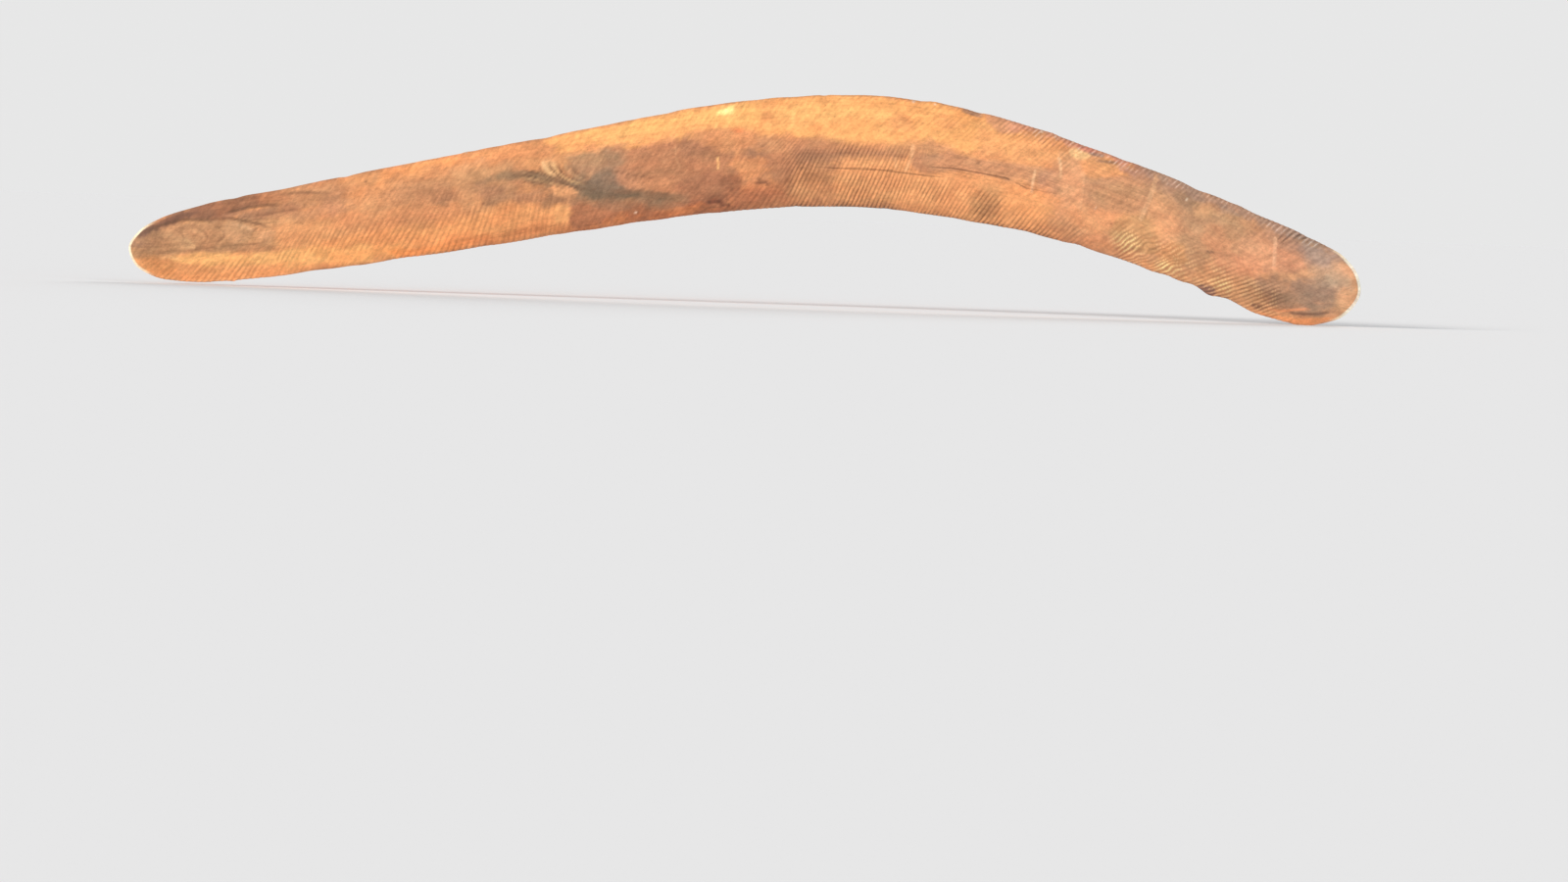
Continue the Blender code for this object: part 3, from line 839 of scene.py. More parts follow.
def paint_knot(p):
    """The stain, and curled and wandering dark grain with pale curls between."""
    p.patch([(-219, -25.5), (-212, -21), (-200, -18), (-190, -18.5), (-184, -21), (-170, -23.5),
             (-170, -27.5), (-186, -26.5), (-198, -25), (-208, -24.4)], (156, 124, 94), 0.8, 3.5, 0.9)
    p.patch([(-226, -30), (-200, -30.5), (-180, -32), (-150, -33), (-120, -31), (-100, -30), (-104, -35),
             (-130, -36), (-165, -38), (-200, -37), (-224, -35)], (176, 130, 98), 0.75, 5)
    p.patch([(-173, -12), (-162, -6.5), (-144, -5), (-138, -9), (-142, -17), (-156, -22), (-170, -19)],
            (166, 134, 104), 0.75, 6, 0.9)
    p.patch([(-174, -25), (-164, -23), (-156, -19), (-147, -16), (-143, -21), (-137, -26), (-126, -28),
             (-116, -29), (-116, -32), (-134, -33), (-146, -34), (-160, -34.4), (-171, -32)],
            (146, 120, 94), 0.85, 4.0, 0.5)
    p.patch([(-170, -25), (-158, -22), (-148, -23), (-138, -27), (-144, -32), (-164, -31.5)],
            (128, 108, 86), 0.7, 4.5, 0.6)
    p.streak([(-150, -29), (-138, -29.6), (-126, -29.6), (-112, -30.6), (-98, -32.4)],
             4.6, (140, 108, 82), 0.75)
    p.streak([(-150, -30), (-138, -31), (-126, -29.4)], 2.2, (116, 98, 78), 0.6)
    p.streak([(-220, -25), (-208, -22), (-195, -20.4), (-182, -22.6), (-168, -25.6)], 4.6, (150, 122, 92),
             0.66)
    p.patch([(-186, -14), (-170, -14), (-160, -22), (-166, -32), (-184, -34), (-190, -24)],
            (146, 112, 84), 0.4, 7)
    p.patch([(-181, -26.8), (-172, -26.8), (-165, -30.4), (-170, -32), (-180, -30)], (240, 172, 120),
            0.85, 1.8, 0.4)
    p.dab(-183, -16, 5.5, 4.5, -50, (224, 172, 122), 0.8)
    for points, width, strength in DARK_GRAIN:
        p.streak(points, width, (112, 80, 58), 0.8 * strength)
    p.streak([(-187, -11.5), (-186, -15), (-183, -18.6), (-177, -21)], 2.0, (238, 190, 138), 0.8)
    p.streak([(-180.6, -11.5), (-179.6, -16), (-176, -20), (-169, -23.6), (-160, -25)],
             1.3, (226, 180, 128), 0.75)
    p.streak([(-174, -12), (-173, -16), (-168, -20), (-161, -22.4)], 1.2, (204, 160, 116), 0.6)
    p.streak([(-204, -22.8), (-192, -23), (-182, -25), (-170, -26.8)], 1.0, (206, 160, 114), 0.6)
    p.streak([(-398, -64), (-390, -68), (-389, -70.6), (-394, -70)], 1.4, (226, 178, 130), 0.7)
    p.streak([(-368, -55.4), (-360, -57), (-353, -59.4)], 1.6, (224, 176, 134), 0.6)
    p.streak([(-392, -60), (-384, -62.6), (-383, -66)], 1.2, (216, 168, 124), 0.45)
    p.streak([(-410, -77.6), (-402, -76.4), (-396, -78)], 1.3, (244, 186, 130), 0.7)


def paint_glints(p, inner_phase, outer_phase):
    """Painted highlights along the ridges between strokes, in patches."""
    side = p.side
    inner_ridge = 1.0 - groove(inner_phase)
    outer_ridge = 1.0 - groove(outer_phase)
    # Where the painted highlights show.
    glint_patches = smooth(-0.35, 0.5, cloud(side.s / 5.0, side.v / 4.0, 131, 3))
    low_arm = zone(side, 150, 246, -0.1, 0.34, 8, 0.08)
    p.lay(smooth(0.35, 0.9, inner_ridge) * glint_patches * low_arm * 0.8, (240, 196, 144))
    # The brightest painted highlights, at three places on the short arm.
    for x, z, long, short, tilt in ((156, -48, 13, 9, -25), (180, -61, 13, 5, -24), (212, -70, 11, 5, -20)):
        near = spot(side, x, z, long, short, tilt)
        p.lay(1.4 * near * smooth(0.2, 0.8, inner_ridge) * (0.6 + 0.4 * glint_patches), (255, 230, 164))
    # Painted highlights on the ridges along the outer edge.
    edge_ridge = smooth(0.5, 0.95, outer_ridge) * zone(side, 88, 276, 0.91, 1.2, 6, 0.04)
    p.lay(edge_ridge * 0.8 * glint_patches, (232, 206, 188))


def paint_front_marks(p):
    """Pale marks across the grain, and specks."""
    pale = (250, 194, 144)
    p.scratch([(-84.8, -7), (-84.2, -13)], 1.3, (255, 196, 132), 0.95)
    p.scratch([(-109.6, -1), (-109.2, -7), (-106.8, -13)], 1.0, (226, 168, 124), 0.8)
    p.scratch([(28.6, 4), (28.0, -2), (25.0, -10)], 2.2, pale, 0.65)
    p.scratch([(18.4, -3), (19.4, -9)], 0.9, pale, 0.5)
    p.scratch([(100.4, -8), (99.4, -14), (99.0, -19.5)], 1.4, (242, 190, 146), 0.9)
    p.scratch([(114.0, 0.4), (115.0, -1.8), (115.6, -10)], 1.3, (250, 202, 154), 0.95)
    p.scratch([(129.6, -8), (127.8, -28)], 1.2, (242, 184, 138), 0.6)
    p.scratch([(171.4, -9.6), (169.0, -18), (165.6, -27), (163.6, -33)], 2.6, (240, 188, 144), 0.7)
    p.scratch([(242.4, -42), (242.2, -58)], 2.0, (240, 186, 148), 0.7)
    p.specks([(129, 8.4, 0.9), (122.6, 10.4, 1.0), (112, 12.8, 0.7), (104, 15.6, 0.8), (28.4, 30.4, 1.0),
              (41, 29.2, 0.7), (-232, -8.6, 0.9), (189.8, -21, 0.8), (136.6, -28, 0.7),
              (-131.6, -40.4, 0.8)], (255, 224, 196), 0.85)
    p.specks([(-76, -24.4, 1.2), (-60, -18.6, 1.4), (-196, -18, 0.8), (-220.4, -38.6, 1.0),
              (-113, 0, 0.8), (-290, -28, 0.9), (67, -4, 1.2), (146, -37, 0.9)], (132, 92, 68), 0.6)


def paint_front(side, inner_phase, outer_phase):
    """All the colours of the carved front, in the order in which they cover each other."""
    p = Paint(side, FRONT_WOOD, 101)
    paint_long_arm(p)
    paint_beside_knot(p)
    paint_middle(p)
    paint_elbow_strokes(p)
    paint_elbow_outside(p)
    paint_grained_band(p)
    paint_short_arm(p)
    paint_sliver(p)
    paint_outer_edge(p)
    paint_knot(p)
    paint_glints(p, inner_phase, outer_phase)
    paint_front_marks(p)
    for row in FRONT_WASHES:
        p.wash(*row)
    p.zone(-172, -92, -0.2, 0.055, (222, 140, 88), 0.6, 12, 0.035, 0.3)
    # Painted highlight: the tips' rims are painted near white, as side light would show them. The rest of
    # the rim is painted a dull grey-brown.
    tips = np.maximum(smooth(-410, -420, side.x), smooth(272, 284, side.x))
    p.lay(smooth(1.6, 0.8, side.inset) * tips * 0.95, (255, 240, 208))
    p.lay(smooth(2.1, 1.4, side.inset) * smooth(280, 287, side.x), (255, 250, 232))
    p.lay(smooth(2.2, 0.2, side.inset) * (1 - tips) * 0.35, (150, 112, 92))
    return p.colour


def paint_back_ground(p):
    """Orange wood, browner towards the short arm's end."""
    p.zone(112, 320, -0.2, 1.2, (212, 118, 46), 0.8, 28, 0.1)
    p.zone(150, 320, -0.2, 1.2, (186, 104, 44), 0.8, 20, 0.1)
    p.zone(184, 320, -0.2, 1.2, (134, 78, 40), 0.9, 20, 0.1)
    p.zone(-440, -345, -0.1, 1.1, (222, 130, 66), 0.85, 30, 0.1)
    p.zone(-300, 60, 0.2, 0.8, (252, 138, 46), 0.6, 40, 0.12)
    p.zone(-215, -190, 0.4, 0.75, (255, 150, 54), 0.6, 20, 0.12)
    p.zone(-100, -80, 0.4, 0.8, (255, 152, 58), 0.5, 24, 0.12)


def paint_back_long_tip(p):
    """The long tip is grey-brown, and its outer margin with it."""
    p.patch([(-434, -66), (-422, -58), (-412, -66), (-414, -80), (-420, -90), (-434, -84)],
            (146, 108, 78), 0.85, 14, 0.3)
    p.patch([(-424, -64), (-398, -51), (-358, -42), (-325, -34), (-291, -29), (-291, -20), (-340, -30),
             (-400, -44), (-428, -60)], (176, 116, 76), 0.85, 4.0, 0.6)
    p.patch([(-424, -62), (-398, -49), (-358, -40), (-340, -36), (-340, -30), (-400, -44), (-428, -60)],
            (120, 90, 68), 0.85, 2.5, 0.4)
    p.patch([(-330, -38), (-300, -33), (-292, -30), (-291, -24), (-330, -32)], (196, 122, 76),
            0.7, 3, 0.6)
    p.patch([(-291, -24), (-268, -20), (-238, -14), (-222, -12), (-218, -8), (-222, -4), (-291, -20)],
            (180, 114, 70), 0.7, 2.5, 0.5)
    p.dab(-226, -11, 7, 3, 12, (150, 102, 68), 0.7, 0.4, 0.8)
    p.patch([(-204, -6), (-190, -4), (-180, -2), (-180, 6), (-206, 0)], (150, 98, 62), 0.8, 2.5, 0.4)
    p.dab(-175, -6, 8, 5.5, 20, (178, 112, 62), 0.75, 0.4, 0.8)
    p.patch([(-168, -2), (-150, 3), (-130, 8), (-130, 18), (-170, 8)], (206, 122, 62), 0.65, 4, 0.5)
    p.patch([(-140, 16), (-110, 16), (-98, 8), (-90, 14), (-60, 20), (-60, 30), (-140, 18)],
            (222, 132, 62), 0.6, 5, 0.6)
    p.dab(-352, -60, 9, 4, 12, (208, 122, 66), 0.6, 0.4, 0.8)
    p.dab(-385, -84, 22, 4, -2, (206, 124, 64), 0.5, 0.4, 0.8)
    p.streak([(-264, -24), (-247, -27.5), (-235, -37), (-225, -44)], 3.0, (232, 128, 52), 0.5)
    p.streak([(-190, -20), (-176, -23), (-160, -29)], 3.0, (255, 160, 66), 0.5)


def paint_back_margins(p):
    """Both margins are browner, the inner one most of all past the middle; there the darkness is partly
    painted shade on the bevel that faces down.
    """
    p.zone(-440, 110, 0.86, 1.2, (212, 122, 58), 0.7, 26, 0.08, 0.2)
    p.zone(-440, 110, 0.925, 1.2, (140, 88, 55), 0.85, 20, 0.04, 0.2)
    p.zone(-70, 120, 0.90, 1.2, (134, 82, 47), 0.85, 22, 0.05, 0.2)
    p.zone(-440, -160, -0.2, 0.08, (188, 106, 46), 0.75, 20, 0.06, 0.15)
    p.patch([(-172, -47), (-156, -42), (-140, -40), (-122, -39), (-96, -37), (-74, -35), (-60, -42),
             (-100, -46), (-140, -52), (-164, -56)], (126, 76, 38), 0.85, 8.0, 0.25)
    # The darkest inner band: partly the wood's own brown and partly painted shade on the downward bevel.
    p.patch([(-84, -36), (-66, -32), (-48, -28.7), (-23, -26.5), (10, -25.5), (35, -24), (60, -22.5),
             (66, -44), (-84, -44)], (92, 54, 30), 0.95, 6.5, 0.2)
    p.patch([(44, -27), (60, -22.5), (76, -21.5), (91, -25), (108, -25.5), (124, -24.5), (137, -28),
             (150, -33), (160, -42), (168, -51), (176, -58), (200, -68), (196, -78), (150, -62),
             (100, -52), (44, -44)], (104, 64, 38), 0.95, 6.5, 0.4)
    p.patch([(120, -41), (150, -45), (166, -54), (190, -66), (190, -76), (150, -62), (118, -54)],
            (74, 46, 27), 0.8, 7)
    p.zone(40, 210, -0.2, 0.05, (78, 48, 28), 0.7, 20, 0.05, 0.2)
    p.patch([(58, -24), (80, -23), (96, -26), (84, -30), (60, -29)], (124, 74, 44), 0.6, 4)
    p.zone(-40, 120, 0.74, 0.95, (204, 114, 50), 0.75, 26, 0.08, 0.5)
    p.zone(-135, 20, -0.2, 0.085, (106, 61, 33), 0.75, 14, 0.05, 0.3)
    p.zone(50, 112, 0.25, 0.75, (220, 120, 52), 0.5, 18, 0.1, 0.5)
    p.zone(168, 202, -0.2, 0.1, (72, 46, 28), 0.65, 10, 0.05, 0.3)
    p.zone(84, 136, -0.2, 0.1, (134, 84, 52), 0.45, 12, 0.05, 0.3)
    p.zone(-440, -362, 0.86, 1.2, (100, 80, 66), 0.8, 18, 0.07, 0.25)
    p.zone(-440, -345, 0.72, 0.9, (182, 116, 74), 0.55, 24, 0.08, 0.3)
    p.zone(-440, -402, -0.2, 0.16, (128, 96, 70), 0.6, 14, 0.07, 0.25)
    p.zone(-440, -404, -0.2, 1.2, (150, 108, 78), 0.35, 14, 0.07, 0.25)
    p.zone(-282, -252, 0.9, 1.2, (214, 126, 68), 0.7, 10, 0.05, 0.3)


def paint_back_shoulder(p):
    """The mottled shoulder before the short arm."""
    side = p.side
    p.patch([(102, 16), (113, 9), (122, 4), (136, 4), (148, -2), (158, -10), (166, -12), (180, -8),
             (184, -2), (150, 12), (104, 22)], (112, 66, 37), 0.92, 5.0, 0.6)
    p.zone(50, 150, 0.84, 1.2, (150, 90, 48), 0.6, 16, 0.06, 0.5)
    flecks = smooth(-0.1, 0.5, cloud(side.s / 4.5, side.v / 2.0, 235, 3))
    p.lay(flecks * zone(side, 96, 196, 0.76, 1.2, 12, 0.08) * 0.8, (92, 56, 34))
    p.zone(112, 204, 0.91, 1.2, (80, 52, 38), 0.6, 16, 0.05, 0.3)
    p.dab(126, -20, 16, 8, -20, (190, 104, 46), 0.6)
    p.patch([(104, 12), (112, 8), (124, 6), (134, 5), (128, 1), (112, 4)], (188, 104, 50), 0.7, 2.5)
    p.patch([(134, -2), (150, -6), (166, -12), (182, -14), (186, -20), (170, -20), (150, -14)],
            (172, 98, 46), 0.7, 6)
    p.patch([(160, -22), (178, -20), (188, -26), (182, -34), (166, -32)], (198, 110, 50), 0.6, 5)
    p.patch([(168, -34), (186, -32), (198, -44), (198, -54), (180, -56), (166, -48)], (126, 74, 38),
            0.8, 8)


def paint_back_stain(p):
    """The dark stain over the short arm's end."""
    side = p.side
    p.patch([(180, -5), (184, -14), (189, -23), (201, -31), (193, -35), (193, -44), (203, -52),
             (215, -56), (225, -54.6), (237, -63), (253, -64), (264, -75), (267, -88), (292, -96),
             (304, -72), (292, -44), (240, -20)], (64, 47, 36), 0.97, 7.0, 0.55)
    streaks = smooth(0.0, 0.9, cloud(side.s / 26.0, side.v / 1.8, 241, 3))
    p.lay(streaks * zone(side, 192, 300, 0.3, 1.2, 14, 0.1) * 0.35, (104, 76, 54))
    p.zone(226, 300, 0.8, 1.2, (42, 35, 31), 0.75, 20, 0.08, 0.3)
    p.patch([(184, -14), (200, -18), (206, -26), (200, -32), (190, -24)], (84, 55, 38), 0.8, 5)
    p.patch([(188, -34), (204, -33), (212, -40), (204, -47), (190, -45)], (112, 68, 40), 0.7, 6)
    p.patch([(232, -26), (262, -38), (300, -52), (306, -80), (290, -80), (276, -56), (240, -40)],
            (48, 37, 30), 0.7, 8)
    p.dab(206, -38.5, 6, 3.5, -10, (120, 70, 42), 0.5, 0.3, 0.9)


def paint_back_patch(p):
    """The orange patch inside the stain, crumbled and darker towards its lower edge."""
    side = p.side
    p.patch([(170, -54), (182, -53), (192, -52.5), (205, -56), (217, -58), (235, -64.5), (253, -65),
             (262, -71), (266, -81), (256, -89), (241, -89), (225, -82), (212, -76), (198, -71),
             (176, -62)], (132, 72, 33), 0.92, 4.0, 0.9)
    p.patch([(206, -58), (222, -61), (240, -66), (254, -68), (250, -72), (232, -71), (214, -66)],
            (156, 88, 42), 0.7, 4)
    p.patch([(222, -73), (240, -74), (256, -76), (260, -82), (250, -90), (226, -84)], (72, 46, 28),
            0.8, 6, 1.3)
    p.patch([(190, -62), (204, -66), (214, -71), (222, -76), (212, -76), (196, -70)], (140, 76, 34),
            0.7, 4)
    crumbled = smooth(-0.1, 0.4, cloud(side.s / 2.0, side.v / 1.1, 233, 3))
    p.lay(crumbled * smooth(0.0, 0.5, spot(side, 236, -75, 36, 15, -14)) * 0.85, (66, 42, 26))
    bright = smooth(0.15, 0.6, cloud(side.s / 2.6, side.v / 1.1, 237, 3))
    p.lay(bright * smooth(0.0, 0.5, spot(side, 232, -70, 40, 14, -14)) * 0.65, (186, 104, 48))
    p.dab(214, -72, 6, 1.8, -18, (216, 122, 60), 0.8, 0.5)
    p.dab(228, -66, 7, 1.6, -14, (206, 116, 58), 0.7, 0.5)
    p.patch([(268, -84), (284, -84), (286, -90), (268, -93)], (116, 66, 36), 0.7, 4, 0.8)
    p.dab(254, -88.5, 10, 1.8, -4, (148, 76, 42), 0.7, 0.5)


def paint_back_tip_strokes(p):
    """The tip's fine strokes show as rows of grey."""
    side = p.side
    row = (0.94 * side.x + 0.34 * side.z) / 2.3 + 0.5 * cloud(side.s / 9.0, side.v / 9.0, 229, 2)
    broken = smooth(-0.4, 0.3, cloud(side.s / 2.4, side.v / 2.4, 231, 2))
    strokes = smooth(-0.2, 0.8, np.sin(2.0 * np.pi * row)) * broken
    p.lay(strokes * smooth(0.0, 0.7, spot(side, 290, -68, 21, 24, 0)) * 0.7, (124, 104, 84))


def paint_back_marks(p):
    """The pit, the split with a painted highlight along it, chips, specks and pale marks."""
    p.dab(-58.5, -17.3, 3.8, 1.6, 10, (44, 28, 18), 0.97, 0.15, 0.3)
    p.scratch([(104.5, 9), (113, 6.6), (116, 4), (122, 3.2)], 1.4, (92, 56, 34), 0.85)
    # A painted highlight: an orange glint along the split.
    p.dab(113, -5.4, 5, 0.9, -24, (255, 166, 84), 0.7, 0.2)
    p.streak([(100, 16), (105, 7), (105.4, -3.3), (109.5, -6.3), (117, -9.6)], 1.3, (68, 41, 26),
             1.0, 0.1)
    p.dab(32, 26, 5, 1.6, -12, (100, 70, 46), 0.85, 0.4)
    p.dab(204.5, -61, 4.4, 1.5, -36, (54, 36, 24), 0.95, 0.4)
    p.dab(207, -64.5, 2.2, 0.8, 0, (206, 150, 92), 0.8, 0.2)
    p.specks([(149.6, -3, 1.0), (158.4, -8.6, 1.0), (138, 3, 0.8), (174, -16, 1.0), (178.6, -25, 1.0),
              (170, -13, 0.8), (119, 5.4, 0.9), (141, 0, 0.8)], (206, 152, 92), 0.7)
    p.specks([(143, -11.4, 1.4), (137, -10, 1.0), (166, -25, 1.0), (180, -23, 1.2), (140, -16, 0.9),
              (-128, -32, 1.0), (-246, -36, 0.9), (-218, -36, 0.9)], (150, 82, 42), 0.8)
    pale = (255, 180, 96)
    p.scratch([(-84, 5), (-84.6, -18)], 3.4, (255, 166, 76), 0.85)
    p.scratch([(-92, 3.4), (-80, 4)], 3.0, (255, 172, 82), 0.75)
    p.scratch([(-78, -13), (-77, -20)], 1.6, pale, 0.6)
    p.scratch([(-72.5, -15), (-72, -21)], 1.4, pale, 0.5)
    p.scratch([(-66, -19), (-50, -17)], 1.4, pale, 0.45)
    p.scratch([(-41, -12), (-41, -27)], 1.0, pale, 0.65)
    p.scratch([(-51, -15), (-50, -21)], 2.0, pale, 0.6)
    p.scratch([(53.4, 21), (55, 15)], 1.2, (255, 196, 126), 0.9)
    p.scratch([(60.6, 21), (62.4, 11)], 1.1, (255, 196, 126), 0.9)
    p.scratch([(63, 6), (63.4, 2)], 1.0, pale, 0.6)
    p.specks([(79.4, 11.6, 1.0), (67, 16.4, 0.8), (50.4, 25.8, 0.8), (2.6, 28.4, 1.0), (-64.4, 12.8, 0.9),
              (67.2, -28, 0.7), (124.4, -42, 0.9), (108.6, -40.6, 0.8), (-183.4, -15, 1.0)],
             (255, 206, 150), 0.85)
    # A worn grey rub near the middle; it carries no sign.
    p.dab(-18, -10.2, 22, 3.0, 4, (202, 150, 100), 0.8, 0.25, 1.0)


def paint_back(side):
    """All the colours of the back, in the order in which they cover each other."""
    # Its borders run out in streaks along the grain.
    p = Paint(side, BACK_WOOD, 201, along=17.0, over=3.4)
    paint_back_ground(p)
    paint_back_long_tip(p)
    paint_back_margins(p)
    paint_back_shoulder(p)
    paint_back_stain(p)
    paint_back_patch(p)
    paint_back_tip_strokes(p)
    paint_back_marks(p)
    # The rim is painted darker, and the long tip's rim paler.
    rim = smooth(3.0, 0.2, side.inset)[:, :, None]
    p.colour = p.colour * (1.0 - 0.4 * rim)
    tips = smooth(-414, -424, side.x)
    p.lay(smooth(1.4, 0.4, side.inset) * tips * 0.6, (176, 146, 114))
    return p.colour


# Where the grain shows most: laid out as the lists of strokes are.
BARE_GRAIN = [
    (30, 118, 0.42, 0.62, 5, 0.06, 0.9),
    (131, 168, 0.5, 0.86, 4, 0.06, 0.7),
    (-430, -335, 0.3, 1.1, 10, 0.06, 0.6),
    (-170, 70, 0.75, 1.1, 20, 0.06, 0.5),
    (-240, -90, -0.1, 0.14, 10, 0.05, 0.6),
]

# The long thin crack at the elbow and its second stretch, which starts higher: (x, z).
CRACK = [(-50, -9.6), (-20, -10.2), (12, -10.6), (40, -13.0), (52, -13.4)]
CRACK_BRANCH = [(34, -7.6), (52, -7.8), (74, -10.8), (84, -12.4), (96, -18), (118, -21)]


def lengthwise_grain(side):
    """How plainly the fine grain along the blade shows on the front."""
    return 0.25 + 0.75 * strongest(side, BARE_GRAIN)


def crack_offset(side):
    """Distance across the grain to the long thin crack, and how open it is."""
    first = side.z - along_x(CRACK, side.x)
    second = side.z - along_x(CRACK_BRANCH, side.x)
    open_1 = smooth(-34, -12, side.x) * smooth(54, 36, side.x) * smooth(6, 4, np.abs(first))
    open_2 = smooth(34, 48, side.x) * smooth(122, 84, side.x) * smooth(5, 3, np.abs(second))
    use_2 = np.abs(second) < np.abs(first)
    return np.where(use_2, second, first), np.where(use_2, open_2, open_1)


# -------------------------------------------------------------- building it up

def nick_edges(line, nicks, outwards):
    """Moves an edge in or out at its nicks, plus a slight waver."""
    out = line.copy()
    x = line[:, 0]
    move = np.zeros(len(x))
    for place, amount, half in nicks:
        move += amount * np.exp(-((x - place) / half) ** 2)
    waver = 0.22 * cloud(x / 13.0, np.full(len(x), outwards * 3.0), 401, 3) - 0.12
    hold = smooth(-427, -405, x) * smooth(294, 280, x)
    out[:, 1] += outwards * (move + waver) * hold
    return out


def across_shares(count):
    """Shares of the width, closer together towards both rims."""
    even = np.linspace(0.0, 1.0, count + 1)
    eased = (1.0 - np.cos(np.pi * even)) / 2.0
    mixed = even * (1.0 - ROW_CROWDING) + eased * ROW_CROWDING
    extra = np.array(RIM_ROWS)
    return np.unique(np.concatenate([mixed, extra, 1.0 - extra]))


def both_sides():
    """The grids of points of the front and of the back, still flat."""
    convex, concave = outline_edges()
    convex = nick_edges(convex, CONVEX_NICKS, 1.0)
    concave = nick_edges(concave, CONCAVE_NICKS, -1.0)
    even = np.linspace(0.0, 1.0, FRONT_COLUMNS + 1)
    eased = (1.0 - np.cos(np.pi * even)) / 2.0
    shares = even * (1.0 - COLUMN_CROWDING) + eased * COLUMN_CROWDING
    upper = even_samples(convex, shares)
    lower = even_samples(concave, shares)
    fine = np.linspace(0.0, 1.0, RIM_SAMPLES)
    rim_line = np.concatenate([even_samples(convex, fine), even_samples(concave, fine)])
    tree = kdtree.KDTree(len(rim_line))
    for k, (px, pz) in enumerate(rim_line):
        tree.insert((px, pz, 0.0), k)
    tree.balance()
    inner = slice(1, FRONT_COLUMNS)
    front = Side(upper[inner], lower[inner], across_shares(FRONT_ROWS), tree, shares[inner])
    half = slice(2, FRONT_COLUMNS - 1, 2)
    back = Side(upper[half], lower[half], across_shares(BACK_ROWS), tree, shares[half])
    return front, back


def rim_notches(front, inner_phase, outer_phase, inner_on, outer_on):
    """How far the strokes notch the rim where they run out over it, in mm along z."""
    notch = INNER_NOTCH * (groove(inner_phase) * inner_on * (front.t < 0.5))
    notch += OUTER_NOTCH * (groove(outer_phase) * outer_on * (front.t > 0.5))
    notch *= smooth(2.5, 0.0, front.inset)
    return np.where(front.t < 0.5, 1.0, -1.0) * notch


def quads(ids):
    """Corners of the faces between neighbouring rows and columns of a grid."""
    corners = (ids[:-1, :-1], ids[:-1, 1:], ids[1:, 1:], ids[1:, :-1])
    return np.stack([c.ravel() for c in corners], axis=1)


def blade_faces(front_ids, back_ids, long_tip, short_tip):
    """Corner numbers of all faces: both grids, the rim's underside and the two tips."""
    columns, rows = front_ids.shape
    back_columns = len(back_ids)
    low = front_ids[:, 0]
    high = front_ids[:, -1]
    faces = quads(front_ids)[:, [0, 3, 2, 1]].tolist()
    faces += quads(back_ids).tolist()
    # Each edge face of the back meets two steps of the rim.
    for k in range(back_columns - 1):
        rim = 2 * k + 1
        faces.append([low[rim], back_ids[k, 0], back_ids[k + 1, 0], low[rim + 2], low[rim + 1]])
        faces.append([high[rim], high[rim + 1], high[rim + 2], back_ids[k + 1, -1], back_ids[k, -1]])
    # Both tips close on one point.
    for j in range(rows - 1):
        faces.append([long_tip, front_ids[0, j], front_ids[0, j + 1]])
        faces.append([short_tip, front_ids[-1, j + 1], front_ids[-1, j]])
    for row, tip, end, turn in ((0, long_tip, 0, 1), (back_columns - 1, short_tip, columns - 1, -1)):
        rim = 2 * row + 1
        ring = [low[rim], *back_ids[row], high[rim]]
        for near, far in zip(ring[:-1], ring[1:]):
            faces.append([tip, far, near][::turn])
        faces.append([tip, low[rim], low[end]][::turn])
        faces.append([tip, high[end], high[rim]][::turn])
    return [[int(i) for i in face] for face in faces]


def stack(*fields):
    """Puts fields over the same grid together, one value of each per point."""
    return np.stack(fields, axis=2)


def add_attribute(mesh, name, kind, key, values):
    """Stores one value, colour or vector for each point of the mesh."""
    layer = mesh.attributes.new(name, kind, "POINT")
    layer.data.foreach_set(key, values.astype(np.float32).ravel())


